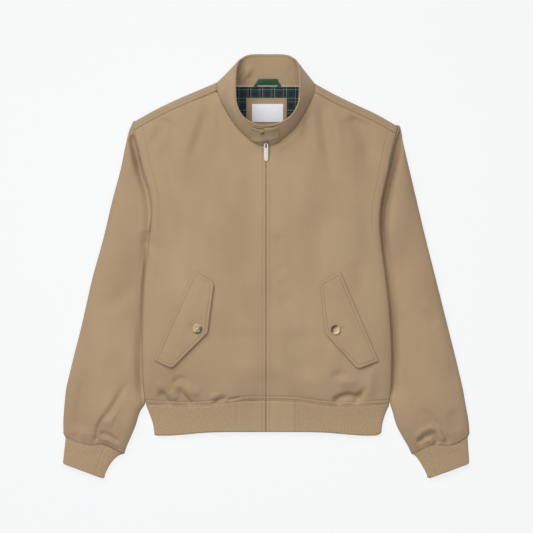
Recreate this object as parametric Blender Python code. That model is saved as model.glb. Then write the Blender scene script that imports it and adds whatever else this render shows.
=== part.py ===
"""Harrington jacket laid flat on its back, front side up.

The frame is the jacket's own: +Y to the collar, +X to the wearer's left, +Z up out of the front, and the
origin on the floor under the middle of its outline. Sizes are in millimetres and go to metres once, in
add_mesh(). A cloth piece is a grid of points on its outer face, worked out from the tables below, and a
Solidify modifier gives it its wall. Neighbouring pieces share a grid line and stand SEAM_GAP apart on it.
"""

import math

import bpy
import bmesh
import numpy as np
from mathutils import Matrix, Vector
from mathutils.bvhtree import BVHTree

MM = 0.001

# Walls and gaps
CLOTH = 1.6
RIB = 2.2
SEAM_GAP = 0.3
LAY_GAP = 0.35
SIDE_GAP = 1.0

# Body, seen from above. Columns: y, half width to the wearer's right, half width to the wearer's left.
# The armhole seams are the part of the edge above UNDERARM_V, and the rib band is the part below the hem.
BODY_EDGE = (
    (-316, 206, 213),
    (-290, 209, 216),
    (-270, 215, 221),
    (-256, 222, 228),
    (-240, 225, 230),
    (-176, 228.5, 232.7),
    (-109, 228.5, 230.5),
    (-28, 225, 223),
    (39, 217, 214),
    (72, 213.7, 211),
    (111, 212, 212.3),
    (145, 217, 218.5),
    (170, 225, 224.2),
    (220, 236.8, 234),
    (262, 246, 246),
)
# Top fold of the shoulders. Columns: distance from the centre, y on the right, y on the left.
SHOULDER_FOLD = (
    (88, 341, 339),
    (124, 325.5, 319),
    (161, 309.8, 301),
    (204, 289.3, 281),
    (246, 266, 257),
)
SHOULDER_WRAP = 16  # the back reaches this far over the fold, to the forward shoulder seam
FOLD_BEND = 8       # depth and height of the fold's lower bend
FOLD_SLOPE = 80     # the front falls towards the fold over this length
# Neckline of the fronts. Columns: distance from the centre, y.
NECKLINE = ((1.2, 221), (10, 222), (23, 227.5), (37, 239), (56, 258), (72, 283), (83, 303), (90.5, 322))
NECK_HALF = 90.5
BACK_NECK_Y = 333
# Hem seam between cloth and rib. Columns: distance from the centre, y.
HEM_SEAM = ((0, -249), (45, -250), (80, -254), (100, -257), (230, -256))
HEM_END = ((0, -307), (110, -308), (214, -314))
ZIP_EDGE = 1.2      # half the slit between the two fronts
HEM_TAB = 54        # the woven ends of the hem band reach this far from the centre
SIDE_WRAP = 14      # a front turns this far under the side edge
SIDE_BEND = 5       # inward run of the side's lower bend

# Height of the crown of the front. Columns: y, height.
CROWN = ((-316, 11), (-285, 13), (-256, 17), (-236, 25), (-205, 32), (-120, 36), (0, 37), (150, 38), (260, 38))
EDGE_HEIGHT = 9     # where the side edge is widest
ARM_HEIGHT = 23     # the front at the armhole seam
CROWN_POWER = 3.6
FOLD_POWER = 2.2
SLEEVE_POWER = 2.8
HEM_HALF = 222      # half width of the hem seam
UNDERARM_V = 0.62   # place of the underarm on a front's side, from the hem (0) to the shoulder (1)

# The sleeve's inner fold lies under the body's side here.
TUCK_TOP = -35
TUCK_END = -200
TUCK_RUN = 38       # the body rises and the sleeve sinks over this length on either side
TUCK_DEPTH = 24
TUCK_LIFT = 8.6
TUCK_MARGIN = 24    # the back stays up this far past the sleeve's fold
TUCK_SLEEVE = 8.0

# Sleeves. Columns: y, distance from the centre on the right, on the left.
SLEEVE_OUTER = (
    (266, 246, 246),
    (248, 253.5, 249),
    (226, 259, 254),
    (181, 268.3, 264.6),
    (126, 283, 277.5),
    (48, 301.6, 296),
    (-18, 320, 312.7),
    (-107, 340.4, 335),
    (-196, 362.6, 357),
    (-229, 370, 364.5),
    (-252, 372.5, 368.5),
    (-302, 375, 376),
    (-311, 374.5, 376),
    (-317, 371, 373),
)
SLEEVE_INNER = (
    (-256, 226, 231),
    (-266, 231, 233),
    (-295, 241.2, 241.5),
    (-318, 250.3, 253),
    (-338, 259, 264),
    (-345, 266, 268),
    (-349, 271, 272),
)
SLEEVE_HEIGHT = ((0, 29), (0.3, 28), (0.75, 27), (0.9, 26), (0.96, 21), (1, 15))
# Rib cuffs: outer corner, inner corner at the opening, and the bend of the inner edge.
CUFF_OUTER = (376, -366)
CUFF_INNER = (298.5, -393)
CUFF_WAIST = (280, -366)
CUFF_HEIGHT = 12
CUFF_EDGE = 6

# Collar. Columns: share of the neck seam from the centre back, then x, y, z of the top edge.
COLLAR_TOP = (
    (0, 0, 392, 4.5),
    (0.15, 22, 392, 5),
    (0.25, 36, 390.5, 7),
    (0.33, 46, 386, 12),
    (0.37, 53.6, 380, 18),
    (0.41, 58, 366, 34),
    (0.455, 59, 356, 46),
    (0.53, 60, 333, 62),
    (0.59, 59.6, 313, 70),
    (0.65, 57.4, 298, 74),
    (0.71, 51, 283, 75),
    (0.77, 41, 271.5, 75),
    (0.84, 28.7, 264, 74),
    (0.92, 14.8, 258.5, 73),
    (1, 1.2, 257, 73),
)

# Soft folds that show from a step away: ends of the ridge, its height and its half width.
# Columns: x1, y1, x2, y2, height, half width.
HEM_FOLDS = (
    (-196, -226, -183, -243, -3.5, 8),
    (-168, -214, -147, -246, 4.0, 9),
    (-80, -236, -88, -252, -2.5, 7),
    (133, -238, 170, -239, -3.5, 8),
    (186, -218, 169, -246, 3.0, 9),
)

# Pocket flaps, as corners of the outline (the first two end the welt line's upper and lower ends).
FLAP_RIGHT = ((-132.3, -9.2), (-96.2, -31.5), (-108.2, -123), (-173.9, -188.7), (-206.3, -173.9))
FLAP_LEFT = ((136.9, -10.2), (99.5, -31.5), (110.8, -124.9), (168.9, -189.3), (207.8, -175.8))
FLAP_WALL = 1.8
FLAP_COLUMNS = 5
FLAP_ROWS = 9
BUTTON_SIZE = 18
BUTTON_RIGHT = (-126.5, -115.4)
BUTTON_LEFT = (128, -117.7)

# Zip
TAPE_WIDTH = 13
TAPE_WALL = 0.9
SLIDER_AT = (0, 227.3, 44.7)
SLIDER_TILT = math.radians(45)
PLATE = (7.4, 10.0, 1.4)
BRIDGE_WIDTH = 2.2
STEM = (1.6, 6.0, 3.4)
AXIS_RISE = 2.7     # of the pull's hinge axis over the slider's plate
PULL_TILT = math.radians(12)
# Outline of the pull on one side of its middle. Columns: half width, distance from the hinge axis.
PULL_OUTLINE = ((2.6, 1.0), (3.5, 0.2), (3.8, -3), (4.1, -9), (4.6, -17), (4.6, -25), (4.1, -29), (3.0, -32), (1.3, -33.4))
PULL_WALL = 1.3
PULL_SLOT = (3.2, -0.65, -7.8)
COLLAR_WALL = 2.4
COLLAR_BOW = 3.0
# Tab that closes the collar over the zip: rows as shares of the collar's height.
TAB_ROWS = (0.36, 0.56, 0.78, 0.95)
TAB_STANDOFF = 2.2
TAB_BUTTON_SIZE = 9

# Inside the back neck
LINING_SIZE = (150, 104)
LINING_Y = 332
PATCH = (-36.5, 38.5, 238, 311)
LABEL = (-26, 31.8, 266.4, 300)
LOOP_FOOT = (-27, 32)
LOOP_TOP = (-15, 24)
LOOP_RISE = 12

COLOURS = {
    "twill": (0.42, 0.31, 0.18, 1.0),
    "rib": (0.45, 0.34, 0.20, 1.0),
    "lining": (0.015, 0.04, 0.045, 1.0),
    "loop": (0.01, 0.08, 0.035, 1.0),
    "label": (0.78, 0.78, 0.80, 1.0),
    "button": (0.50, 0.36, 0.18, 1.0),
    "zip_metal": (0.75, 0.75, 0.75, 1.0),
    "zip_tape": (0.30, 0.21, 0.12, 1.0),
}
ROUGHNESS = {"button": 0.35, "zip_metal": 0.2}


def smooth(value):
    """Smooth step from 0 to 1, flat outside."""
    t = np.clip(value, 0.0, 1.0)
    return t * t * (3 - 2 * t)


def read_table(table, column, at):
    """Smooth curve through a table's rows: cubic pieces with the slopes of the neighbouring chords."""
    rows = np.array(sorted(table), float)
    keys, values = rows[:, 0], rows[:, column]
    slopes = np.gradient(values, keys)
    at = np.clip(at, keys[0], keys[-1])
    row = np.clip(np.searchsorted(keys, at) - 1, 0, len(keys) - 2)
    step = keys[row + 1] - keys[row]
    t = (at - keys[row]) / step
    return (
        values[row] * (1 + 2 * t) * (1 - t) ** 2
        + values[row + 1] * t * t * (3 - 2 * t)
        + step * (slopes[row] * t * (1 - t) ** 2 - slopes[row + 1] * t * t * (1 - t))
    )


def side_column(side):
    """Table column of the wearer's right (side -1) or left (side +1)."""
    return 1 if side < 0 else 2


def body_half(side, y):
    return read_table(BODY_EDGE, side_column(side), y)


def fold_y(side, half):
    return read_table(SHOULDER_FOLD, side_column(side), half)


def hem_y(half):
    return read_table(HEM_SEAM, 1, half)


def tuck(y):
    """1 where the sleeve lies under the body's side, with a soft run in and out."""
    return smooth((TUCK_TOP + 2 * TUCK_RUN - y) / TUCK_RUN) * smooth((y - TUCK_END + TUCK_RUN) / TUCK_RUN)


def tuck_depth(y):
    """How far the sleeve's inner fold lies inside the body's edge; negative is a gap."""
    run = np.clip((TUCK_TOP - y) / (TUCK_TOP - TUCK_END), 0, 1)
    return (TUCK_DEPTH + SIDE_GAP) * np.sin(math.pi * run) ** 2 - SIDE_GAP


def body_lift(side, half, y):
    """Height of the back panel's underside over the floor."""
    inside = body_half(side, y) - half - tuck_depth(y) - TUCK_MARGIN
    return TUCK_LIFT * tuck(y) * (1 - smooth(inside / 45))


def edge_height(y):
    """Height at which the side edge of the front ends."""
    fold = EDGE_HEIGHT + (TUCK_LIFT - 2) * tuck(y)
    narrow = smooth((-215 - y) / 40)
    return (fold + (ARM_HEIGHT - fold) * smooth((y - 35) / 70)) * (1 - 0.35 * narrow)


def hem_folds(x, y):
    """Sum of the soft folds: each falls off as a bell curve from the line between its two ends."""
    height = np.zeros(np.broadcast(x, y).shape)
    for x1, y1, x2, y2, rise, spread in HEM_FOLDS:
        run, drop = x2 - x1, y2 - y1
        along = np.clip(((x - x1) * run + (y - y1) * drop) / (run * run + drop * drop), 0, 1)
        away = (x - x1 - along * run) ** 2 + (y - y1 - along * drop) ** 2
        height = height + rise * np.exp(-away / (2 * spread * spread))
    return height


def front_height(side, half, y):
    """Height of the front's outer face: a crown that falls to the side edge and to the shoulder fold."""
    share = np.clip(half / body_half(side, y), 0, 1)
    crown = (1 - share**CROWN_POWER) ** (1 / CROWN_POWER)
    rim = edge_height(y)
    height = rim + (read_table(CROWN, 1, y) - rim) * crown
    down = np.clip((fold_y(side, half) - y) / FOLD_SLOPE, 0, 1)
    height = FOLD_BEND + (height - FOLD_BEND) * (1 - (1 - down) ** FOLD_POWER) ** (1 / FOLD_POWER)
    return height + hem_folds(side * half, y) * smooth((y + 256) / 10)


def grid_normals(grid):
    """Unit normals of a grid of points, from the differences along its two directions."""
    across = np.gradient(grid, axis=0)
    along = np.gradient(grid, axis=1)
    normals = np.cross(across, along)
    return normals / np.linalg.norm(normals, axis=2, keepdims=True)


def add_mesh(name, material, points, faces, wall=0.0):
    """Adds a mesh object from points in millimetres; wall thickens it away from its face normals."""
    mesh = bpy.data.meshes.new(name)
    mesh.from_pydata([tuple(float(c) * MM for c in p) for p in points], [], faces)
    mesh.validate()
    mesh.update()
    mesh.shade_smooth()
    mesh.materials.append(material)
    piece = bpy.data.objects.new(name, mesh)
    bpy.context.scene.collection.objects.link(piece)
    if wall:
        solidify = piece.modifiers.new("wall", "SOLIDIFY")
        solidify.thickness = wall * MM
        solidify.offset = -1.0
    return piece


def add_grid(name, material, grid, wall, keep=None, closed=False, flip=False):
    """Adds a cloth piece from a grid of points; keep is a mask of its cells, closed joins its last column
    to the first, and flip turns its outer face round."""
    columns, rows = grid.shape[:2]
    faces = []
    for i in range(columns if closed else columns - 1):
        for j in range(rows - 1):
            if keep is not None and not keep[i, j]:
                continue
            after = (i + 1) % columns
            face = (i * rows + j, after * rows + j, after * rows + j + 1, i * rows + j + 1)
            faces.append(face[::-1] if flip else face)
    used = sorted({corner for face in faces for corner in face})
    place = {corner: k for k, corner in enumerate(used)}
    points = grid.reshape(-1, 3)[used]
    faces = [tuple(place[corner] for corner in face) for face in faces]
    return add_mesh(name, material, points, faces, wall)


def make_materials():
    """One Principled material for each finish."""
    materials = {}
    for name, colour in COLOURS.items():
        material = bpy.data.materials.new(name)
        material.use_nodes = True
        shader = material.node_tree.nodes["Principled BSDF"]
        shader.inputs["Base Color"].default_value = colour
        shader.inputs["Roughness"].default_value = ROUGHNESS.get(name, 0.85)
        shader.inputs["Metallic"].default_value = 1.0 if name == "zip_metal" else 0.0
        materials[name] = material
    return materials


# Rows and columns that neighbouring pieces share
FRONT_TOPS = (ZIP_EDGE, 14, 28, 41, 53, 64, 74, 83, NECK_HALF, 114, 138, 162, 186, 207, 224)
EDGE_SHARES = (0.968, 0.992, 1)
FRONT_EDGE = len(FRONT_TOPS) + len(EDGE_SHARES) - 1
NECK_COLUMNS = 9
LOW_ROWS = (0, 0.02, 0.045, 0.075, 0.11, 0.16, 0.22, 0.30, 0.38, 0.46, 0.54, UNDERARM_V)
ARM_ROWS = (0.96, 0.90, 0.81, 0.71, 0.60, 0.49, 0.38, 0.28, 0.19, 0.12, 0.072)
FRONT_ROWS = LOW_ROWS + tuple(
    1 - (share - ARM_ROWS[-1]) / (1 - ARM_ROWS[-1]) * (1 - UNDERARM_V) for share in ARM_ROWS
)
BEND_ANGLES = (0.0, math.radians(45), math.radians(90))


def tip_half(side):
    """Half width where the forward shoulder seam meets the armhole seam."""
    half = 243.0
    for _ in range(6):
        half = body_half(side, fold_y(side, half) - SHOULDER_WRAP)
    return float(half)


def front_top(side, half):
    """Upper boundary of a front: the neckline, then the forward shoulder seam."""
    return np.where(half <= NECK_HALF, read_table(NECKLINE, 1, half), fold_y(side, half) - SHOULDER_WRAP)


def front_plan(side, tops, rows):
    """Plan grid of a front: columns run from the hem to the points of its upper boundary, and bend with
    the body's edge. Returns half widths and y."""
    tops = np.array(tops, float)
    top_y = front_top(side, tops)
    share = (tops - ZIP_EDGE) / (body_half(side, top_y) - ZIP_EDGE)
    hem = hem_y(share * HEM_HALF)
    rows = np.array(rows, float)
    y = hem[:, None] + (top_y - hem)[:, None] * rows[None, :]
    half = ZIP_EDGE + share[:, None] * (body_half(side, y) - ZIP_EDGE)
    return half, y


def side_of(half, y, z, side):
    """Stacks half widths, y and z into points on one side of the body."""
    half, y, z = np.broadcast_arrays(half, y, z)
    return np.stack([side * half, y, z], axis=-1)


def side_wrap(side, y):
    """Points of the front from its widest edge round to the seam under the side."""
    half = body_half(side, y)
    rim = edge_height(y)
    floor = body_lift(side, half, y)
    columns = []
    for angle in BEND_ANGLES[1:]:
        inward = SIDE_BEND * (1 - math.cos(angle))
        columns.append(side_of(half - inward, y, rim + (floor - rim) * math.sin(angle), side))
    under = half - SIDE_WRAP
    columns.append(side_of(under, y, body_lift(side, under, y), side))
    return columns


def front_grid(side):
    """Outer face of a front with its turn under the side edge, and the mask of its cells."""
    tops = FRONT_TOPS + tuple(tip_half(side) * share for share in EDGE_SHARES)
    half, y = front_plan(side, tops, FRONT_ROWS)
    z = front_height(side, half, y)
    columns = [side_of(half[i], y[i], z[i], side) for i in range(len(tops))]
    columns += side_wrap(side, y[-1])
    grid = np.stack(columns)
    steep = smooth((150 - np.abs(grid[NECK_COLUMNS - 1 :, -1, 0])) / 40)
    grid[NECK_COLUMNS - 1 :, -1, 1] -= SEAM_GAP + 0.2 + 0.5 * steep
    grid[len(tops) :, len(LOW_ROWS) - 1, 1] -= 2 * SEAM_GAP
    keep = np.ones((len(grid) - 1, len(FRONT_ROWS) - 1), bool)
    keep[len(tops) - 1 :, len(LOW_ROWS) - 1 :] = False
    return grid, keep


BACK_TOPS = (0, 18, 36, 54, 72, NECK_HALF + 0.5, 114, 138, 162, 186, 207, 223)
BACK_LOW = LOW_ROWS
BACK_ARM = (0.81, 0.60, 0.38, 0.19)
WRAP_DEPTHS = (2.5, 7.0, 12.0, SHOULDER_WRAP)


def wrap_points(side, half, at_edge):
    """Points of the back over the shoulder fold, from its lower bend to the forward shoulder seam."""
    fold = float(fold_y(side, half))
    angles = np.array(BEND_ANGLES[1:])
    low_y = fold - FOLD_BEND + FOLD_BEND * np.sin(angles)
    high_y = fold - np.array(WRAP_DEPTHS)
    y = np.concatenate([low_y, high_y])
    halves = body_half(side, y) if at_edge else np.full(len(y), half)
    low_z = FOLD_BEND * (1 - np.cos(angles))
    high_z = front_height(side, halves[len(angles) :], high_y)
    return side_of(halves, y, np.concatenate([low_z, high_z]), side)


def back_half_grid(side):
    """One half of the back panel from the centre outwards: the flat part on the floor, then the wrap over
    the shoulder. The last column is the strip beside the armhole, above the underarm only."""
    tip = tip_half(side)
    seam = SIDE_WRAP + SEAM_GAP
    strip_top = float(body_half(side, fold_y(side, tip) - FOLD_BEND)) - seam
    tops = np.array(BACK_TOPS + (strip_top, tip), float)
    under_y = float(hem_y(HEM_HALF) + UNDERARM_V * (front_top(side, tip) - hem_y(HEM_HALF)))
    top_fold = np.where(tops < NECK_HALF, BACK_NECK_Y, fold_y(side, tops) - FOLD_BEND)
    columns = []
    for i, top in enumerate(tops):
        inner = i < len(tops) - 1
        fold_end = float(top_fold[i])
        hem = float(hem_y(HEM_HALF))
        rows = [hem + v / UNDERARM_V * (under_y - hem) for v in BACK_LOW]
        rows += [under_y + (fold_end - under_y) * (1 - (share - 0.04) / 0.96) for share in BACK_ARM]
        rows.append(fold_end)
        y = np.array(rows)
        limit = body_half(side, y) - seam
        half = top * limit / limit[-1] if inner else limit + seam
        flat = side_of(half, y, body_lift(side, half, y), side)
        wrap = wrap_points(side, max(float(top), NECK_HALF + 0.5), not inner)
        columns.append(np.concatenate([flat, wrap]))
    grid = np.stack(columns)
    corner = len(BACK_LOW) - 1
    keep = np.ones((len(grid) - 1, grid.shape[1] - 1), bool)
    keep[-1, :corner] = False
    keep[:5, len(BACK_LOW) + len(BACK_ARM) :] = False
    return grid, keep


def armhole_loop(side, front, back):
    """Closed loop of the armhole: up the front's seam, over the shoulder, down the back and up the wall
    under the arm. Returns the points, their shares from the shoulder tip to the underarm, and whether
    each lies on the top."""
    arm_front = front[FRONT_EDGE, len(LOW_ROWS) - 1 :]
    flat = len(BACK_LOW) + len(BACK_ARM)
    over = back[-1, flat:-1][::-1]
    under = back[-1, len(BACK_LOW) : flat + 1][::-1][1:]
    first = arm_front[0]
    drop = np.array([[0, 0, -0.55 * first[2]], [0, 2.0, -first[2]]])
    wall = first + drop
    loop = np.concatenate([arm_front, over, under, wall[::-1]])
    tip_y = float(fold_y(side, tip_half(side)))
    share = (tip_y - loop[:, 1]) / (tip_y - first[1])
    top = np.zeros(len(loop), bool)
    top[: len(arm_front) + len(WRAP_DEPTHS) - 1] = True
    return loop, np.clip(share, 0, 1), top


def lerp(a, b, t):
    return a + (b - a) * t


def sleeve_inner(side, y):
    """Distance of the sleeve's inner fold from the centre."""
    hidden = body_half(side, y) - tuck_depth(y)
    open_part = read_table(SLEEVE_INNER, side_column(side), y)
    return np.where(y > SLEEVE_INNER[0][0], hidden, np.maximum(open_part, 0))


def loop_heights(share, top, edge, crown, bend):
    """Heights of a flattened tube's loop: a crown over a flat underside with rounded edges."""
    q = np.abs(2 * share - 1)
    over = edge + (crown - edge) * (1 - q**SLEEVE_POWER) ** (1 / SLEEVE_POWER)
    near = np.clip(np.minimum(share, 1 - share) / bend, 0, 1)
    under = edge * (1 - np.sqrt(1 - (1 - near) ** 2))
    return np.where(top, over, under)


SLEEVE_STATIONS = (0, 0.005, 0.03, 0.07, 0.13, 0.19, 0.24, 0.29, 0.34, 0.39, 0.44, 0.49, 0.54, 0.59, 0.65, 0.71, 0.77)
SLEEVE_STATIONS += (0.83, 0.89, 0.94, 0.975, 1)
CUFF_STATIONS = (0, 0.2, 0.45, 0.72, 1)


def sleeve_grid(side, loop, share, top):
    """Outer face of a sleeve: rings from the armhole to the cuff seam. A ring's plan is blended from the
    armhole curve, the straight cuff seam and the sleeve's two edges."""
    end_y, end_inner_y = SLEEVE_OUTER[-1][0], SLEEVE_INNER[-1][0]
    tip, under = loop[np.argmin(share)], loop[0]
    cuff_outer = np.array([SLEEVE_OUTER[-1][side_column(side)], end_y])
    cuff_inner = np.array([SLEEVE_INNER[-1][side_column(side)], end_inner_y])
    arm = np.stack([np.abs(loop[:, 0]), loop[:, 1]], axis=1)
    arm_tip = np.array([abs(tip[0]), tip[1]])
    arm_under = np.array([abs(under[0]), under[1]])
    rings = []
    w = share[:, None]
    for t in SLEEVE_STATIONS:
        outer_y = lerp(tip[1], end_y, t)
        inner_y = lerp(under[1], end_inner_y, t)
        outer = np.array([read_table(SLEEVE_OUTER, side_column(side), outer_y), outer_y])
        inner = np.array([sleeve_inner(side, inner_y), inner_y])
        plan = lerp(arm, lerp(cuff_outer, cuff_inner, w), t) + lerp(outer, inner, w)
        plan = plan - lerp(lerp(arm_tip, arm_under, w), lerp(cuff_outer, cuff_inner, w), t)
        plan[:, 0] += SEAM_GAP * (1 - t)
        if t <= SLEEVE_STATIONS[1]:
            plan = arm + np.array([SEAM_GAP + 0.4 * (t > 0), 0])
        crown = float(read_table(SLEEVE_HEIGHT, 1, t))
        low = tuck(plan[:, 1])
        edge = lerp(EDGE_HEIGHT, 4.0, low * smooth((share - 0.6) / 0.3)) * (1 - 0.25 * smooth((t - 0.9) / 0.1))
        z = loop_heights(share, top, edge, crown, 0.05)
        beside = plan[:, 0] - body_half(side, plan[:, 1])
        cap = TUCK_SLEEVE + 30 * (1 - low * (1 - smooth((beside - 7) / 60)))
        z = np.where(top, np.minimum(z, cap), z)
        z = lerp(loop[:, 2], z, smooth(t / 0.16))
        rings.append(side_of(plan[:, 0], plan[:, 1], z, side))
    return np.stack(rings, axis=1)


def cuff_grid(side, sleeve_end, share, top):
    """Outer face of a rib cuff, from the sleeve's last ring to its opening."""
    start = np.abs(sleeve_end[:, :2] * np.array([1, 0])) + sleeve_end[:, :2] * np.array([0, 1])
    first, last = start[np.argmin(share)], start[np.argmax(share)]
    run = (last - first) / np.linalg.norm(last - first)
    start = start + np.array([-run[1], run[0]]) * np.sign(-run[0]) * (SEAM_GAP + 0.1)
    w = share[:, None]
    end = lerp(np.array(CUFF_OUTER, float), np.array(CUFF_INNER, float), w)
    straight = lerp(first, last, w)
    rings = []
    for t in CUFF_STATIONS:
        bend = 4 * t * (1 - t) * (np.array(CUFF_WAIST) - lerp(last, np.array(CUFF_INNER, float), 0.5))
        plan = lerp(start, end, t) + w * w * bend
        z = loop_heights(share, top, CUFF_EDGE, CUFF_HEIGHT, 0.06)
        z = lerp(sleeve_end[:, 2], z, smooth(t / 0.5))
        rings.append(side_of(plan[:, 0], plan[:, 1], z, side))
    return np.stack(rings, axis=1)


BAND_ROWS = (0, 0.04, 0.16, 0.5, 1)


def band_columns(side, seam, kind):
    """Columns of the hem band below points of the hem seam. kind is top, edge or under: the height follows
    the crown, the narrowing side edge, or the floor."""
    columns = []
    for point in seam:
        half, seam_y = abs(point[0]), point[1] - SEAM_GAP
        end_y = float(read_table(HEM_END, 1, half))
        column = []
        for row in BAND_ROWS:
            y = lerp(seam_y, end_y, row)
            straight = row <= BAND_ROWS[1]
            narrow = 1.0 if straight else float(body_half(side, y) / body_half(side, seam_y))
            wide = half * lerp(1, narrow, float(smooth((half - HEM_TAB) / 60)))
            if straight:
                z = point[2]
            elif kind == "top":
                z = float(front_height(side, wide, y))
            elif kind == "edge":
                z = point[2] * float(edge_height(y) / edge_height(seam_y))
            else:
                z = 0.0
            column.append((side * wide, y, z))
        columns.append(np.array(column))
    return columns


def seam_point(seam, half):
    """Point of a hem seam at a half width, straight between its own points."""
    halves = np.abs(seam[:, 0])
    place = [np.interp(half, halves, seam[:, k]) for k in range(3)]
    return np.array(place)


def tab_grid(side, front):
    """Woven end of the hem band beside the zip."""
    seam = front[: FRONT_EDGE + 1, 0]
    inner = [point for point in seam if abs(point[0]) < HEM_TAB - 2]
    return np.stack(band_columns(side, inner + [seam_point(seam, HEM_TAB)], "top"))


def rib_band_grid(fronts, backs):
    """Outer face of the hem's rib: from the right tab over the side, under the back, to the left tab."""
    columns = []
    edge = FRONT_EDGE
    for side in (-1, 1):
        seam = fronts[side][:, 0]
        outer = [point for point in seam[:edge] if abs(point[0]) > HEM_TAB + 2]
        first = seam_point(seam[: edge + 1], HEM_TAB + SEAM_GAP)
        ring = band_columns(side, [first] + outer, "top") + band_columns(side, list(seam[edge : edge + 3]), "edge")
        ring += band_columns(side, list(backs[side][1:-1, 0][::-1]), "under")
        if side < 0:
            columns += ring + band_columns(side, [backs[side][0, 0]], "under")
        else:
            columns += ring[::-1]
    return np.stack(columns)


def collar_seam(side, front, back):
    """Half of the neck seam from the centre back to the zip: back neckline, shoulder wrap, fronts."""
    flat = len(BACK_LOW) + len(BACK_ARM)
    back_line = back[:6, flat].copy()
    wrap = back[5, flat + 1 :].copy()
    neck = front[:NECK_COLUMNS, -1][::-1][1:].copy()
    seam = np.concatenate([back_line, wrap, neck])
    return seam


COLLAR_ROWS = (0, 0.1, 0.3, 0.55, 0.8, 1)


def collar_half(side, front, back):
    """Grid of one half of the collar: straight rulings from the neck seam to the top edge, bowed out."""
    seam = collar_seam(side, front, back)
    steps = np.linalg.norm(np.diff(seam, axis=0), axis=1)
    share = np.concatenate([[0], np.cumsum(steps)]) / steps.sum()
    top = np.stack([side * read_table(COLLAR_TOP, 1, share)] + [read_table(COLLAR_TOP, c, share) for c in (2, 3)], 1)
    inward = np.stack([-seam[:, 0], 262 - seam[:, 1], 0 * share], 1)
    inward /= np.linalg.norm(inward, axis=1, keepdims=True)
    start = seam + inward * np.where(share < 0.3, 0.0, SEAM_GAP + 0.2)[:, None]
    start[:, 1] += np.where(share < 0.34, SEAM_GAP + 0.5, 0)
    start[:, 2] += np.where(share > 0.36, 0.6, 0.0)
    rows = []
    for row in COLLAR_ROWS:
        point = lerp(start, top, row)
        bow = COLLAR_BOW * math.sin(math.pi * row) * smooth((share - 0.35) / 0.2) * smooth((1 - share) / 0.12)
        rows.append(point - inward * bow[:, None])
    return np.stack(rows, axis=1)


def surface_ray(piece):
    """Function that gives the top height of a piece above a plan point, on its real facets."""
    bpy.context.view_layer.update()
    depsgraph = bpy.context.evaluated_depsgraph_get()
    tree = BVHTree.FromObject(piece, depsgraph)

    def height(x, y):
        hit = tree.ray_cast(Vector((x * MM, y * MM, 1.0)), Vector((0, 0, -1)))
        return hit[0].z / MM if hit[0] is not None else None

    return height


def lay_on(name, material, outline, across, along, heights, wall, gap=LAY_GAP):
    """Adds a flat cloth piece that lies on others: a grid between its two long edges, each point set on
    the highest surface below it. outline gives the two edges as functions of a share from 0 to 1."""
    near, far = outline
    grid = np.zeros((across + 1, along + 1, 3))
    for j in range(along + 1):
        start, end = near(j / along), far(j / along)
        for i in range(across + 1):
            x, y = lerp(np.array(start, float), np.array(end, float), i / across)
            found = [height(x, y) for height in heights]
            below = max((z for z in found if z is not None), default=2 * CLOTH)
            grid[i, j] = (x, y, below + gap + wall)
    return add_grid(name, material, grid, wall, flip=np.cross(*plan_steps(grid)) < 0)


def plan_steps(grid):
    """First steps of a grid in plan, across and along."""
    return grid[1, 0, :2] - grid[0, 0, :2], grid[0, 1, :2] - grid[0, 0, :2]


def polyline(points):
    """Point at a share of a line through points, by length."""
    points = np.array(points, float)
    steps = np.concatenate([[0], np.cumsum(np.linalg.norm(np.diff(points, axis=0), axis=1))])

    def at(share):
        return [np.interp(share * steps[-1], steps, points[:, k]) for k in (0, 1)]

    return at


def pocket_flap(name, material, corners, height):
    """Flap between its welt line and its free edge, which is rounded at its upper corner."""
    top, shoulder, point, low, foot = (np.array(c, float) for c in corners)
    near_top = lerp(top, shoulder, 0.78)
    past_top = lerp(shoulder, point, 0.10)
    free = [lerp(top, shoulder, 0.04), near_top, lerp(near_top, past_top, 0.5) * 0.5 + shoulder * 0.5, past_top]
    free += [lerp(shoulder, point, 0.55), point, lerp(point, low, 0.5), low, lerp(low, foot, 0.5), foot]
    edges = polyline([top, foot]), polyline(free)
    return lay_on(name, material, edges, FLAP_COLUMNS, 2 * FLAP_ROWS, [height], FLAP_WALL)


def add_turned(name, material, profile, centre, facets=16):
    """Adds a turned piece: a profile of radius and height spun about its upright axis."""
    mesh = bmesh.new()
    rings = []
    for radius, height in profile:
        ring = []
        for k in range(facets if radius else 1):
            angle = 2 * math.pi * k / facets
            place = (radius * math.cos(angle), radius * math.sin(angle), height)
            ring.append(mesh.verts.new(tuple((c + p) * MM for c, p in zip(centre, place))))
        rings.append(ring)
    for low, high in zip(rings, rings[1:]):
        for k in range(facets):
            corners = [low[k % len(low)], low[(k + 1) % len(low)], high[(k + 1) % len(high)], high[k % len(high)]]
            unique = list(dict.fromkeys(corners))
            mesh.faces.new(unique)
    bmesh.ops.recalc_face_normals(mesh, faces=mesh.faces)
    data = bpy.data.meshes.new(name)
    mesh.to_mesh(data)
    mesh.free()
    data.shade_smooth()
    data.set_sharp_from_angle(angle=math.radians(40))
    data.materials.append(material)
    piece = bpy.data.objects.new(name, data)
    bpy.context.scene.collection.objects.link(piece)
    return piece


def button_profile(size):
    """Dished button: flat back, rounded rim, shallow well and a low dome in it."""
    r = size / 2
    return ((0, 0), (r * 0.82, 0), (r, 1.2), (r * 0.97, 2.2), (r * 0.82, 2.8), (r * 0.62, 2.0), (r * 0.3, 2.3), (0, 2.4))


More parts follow.
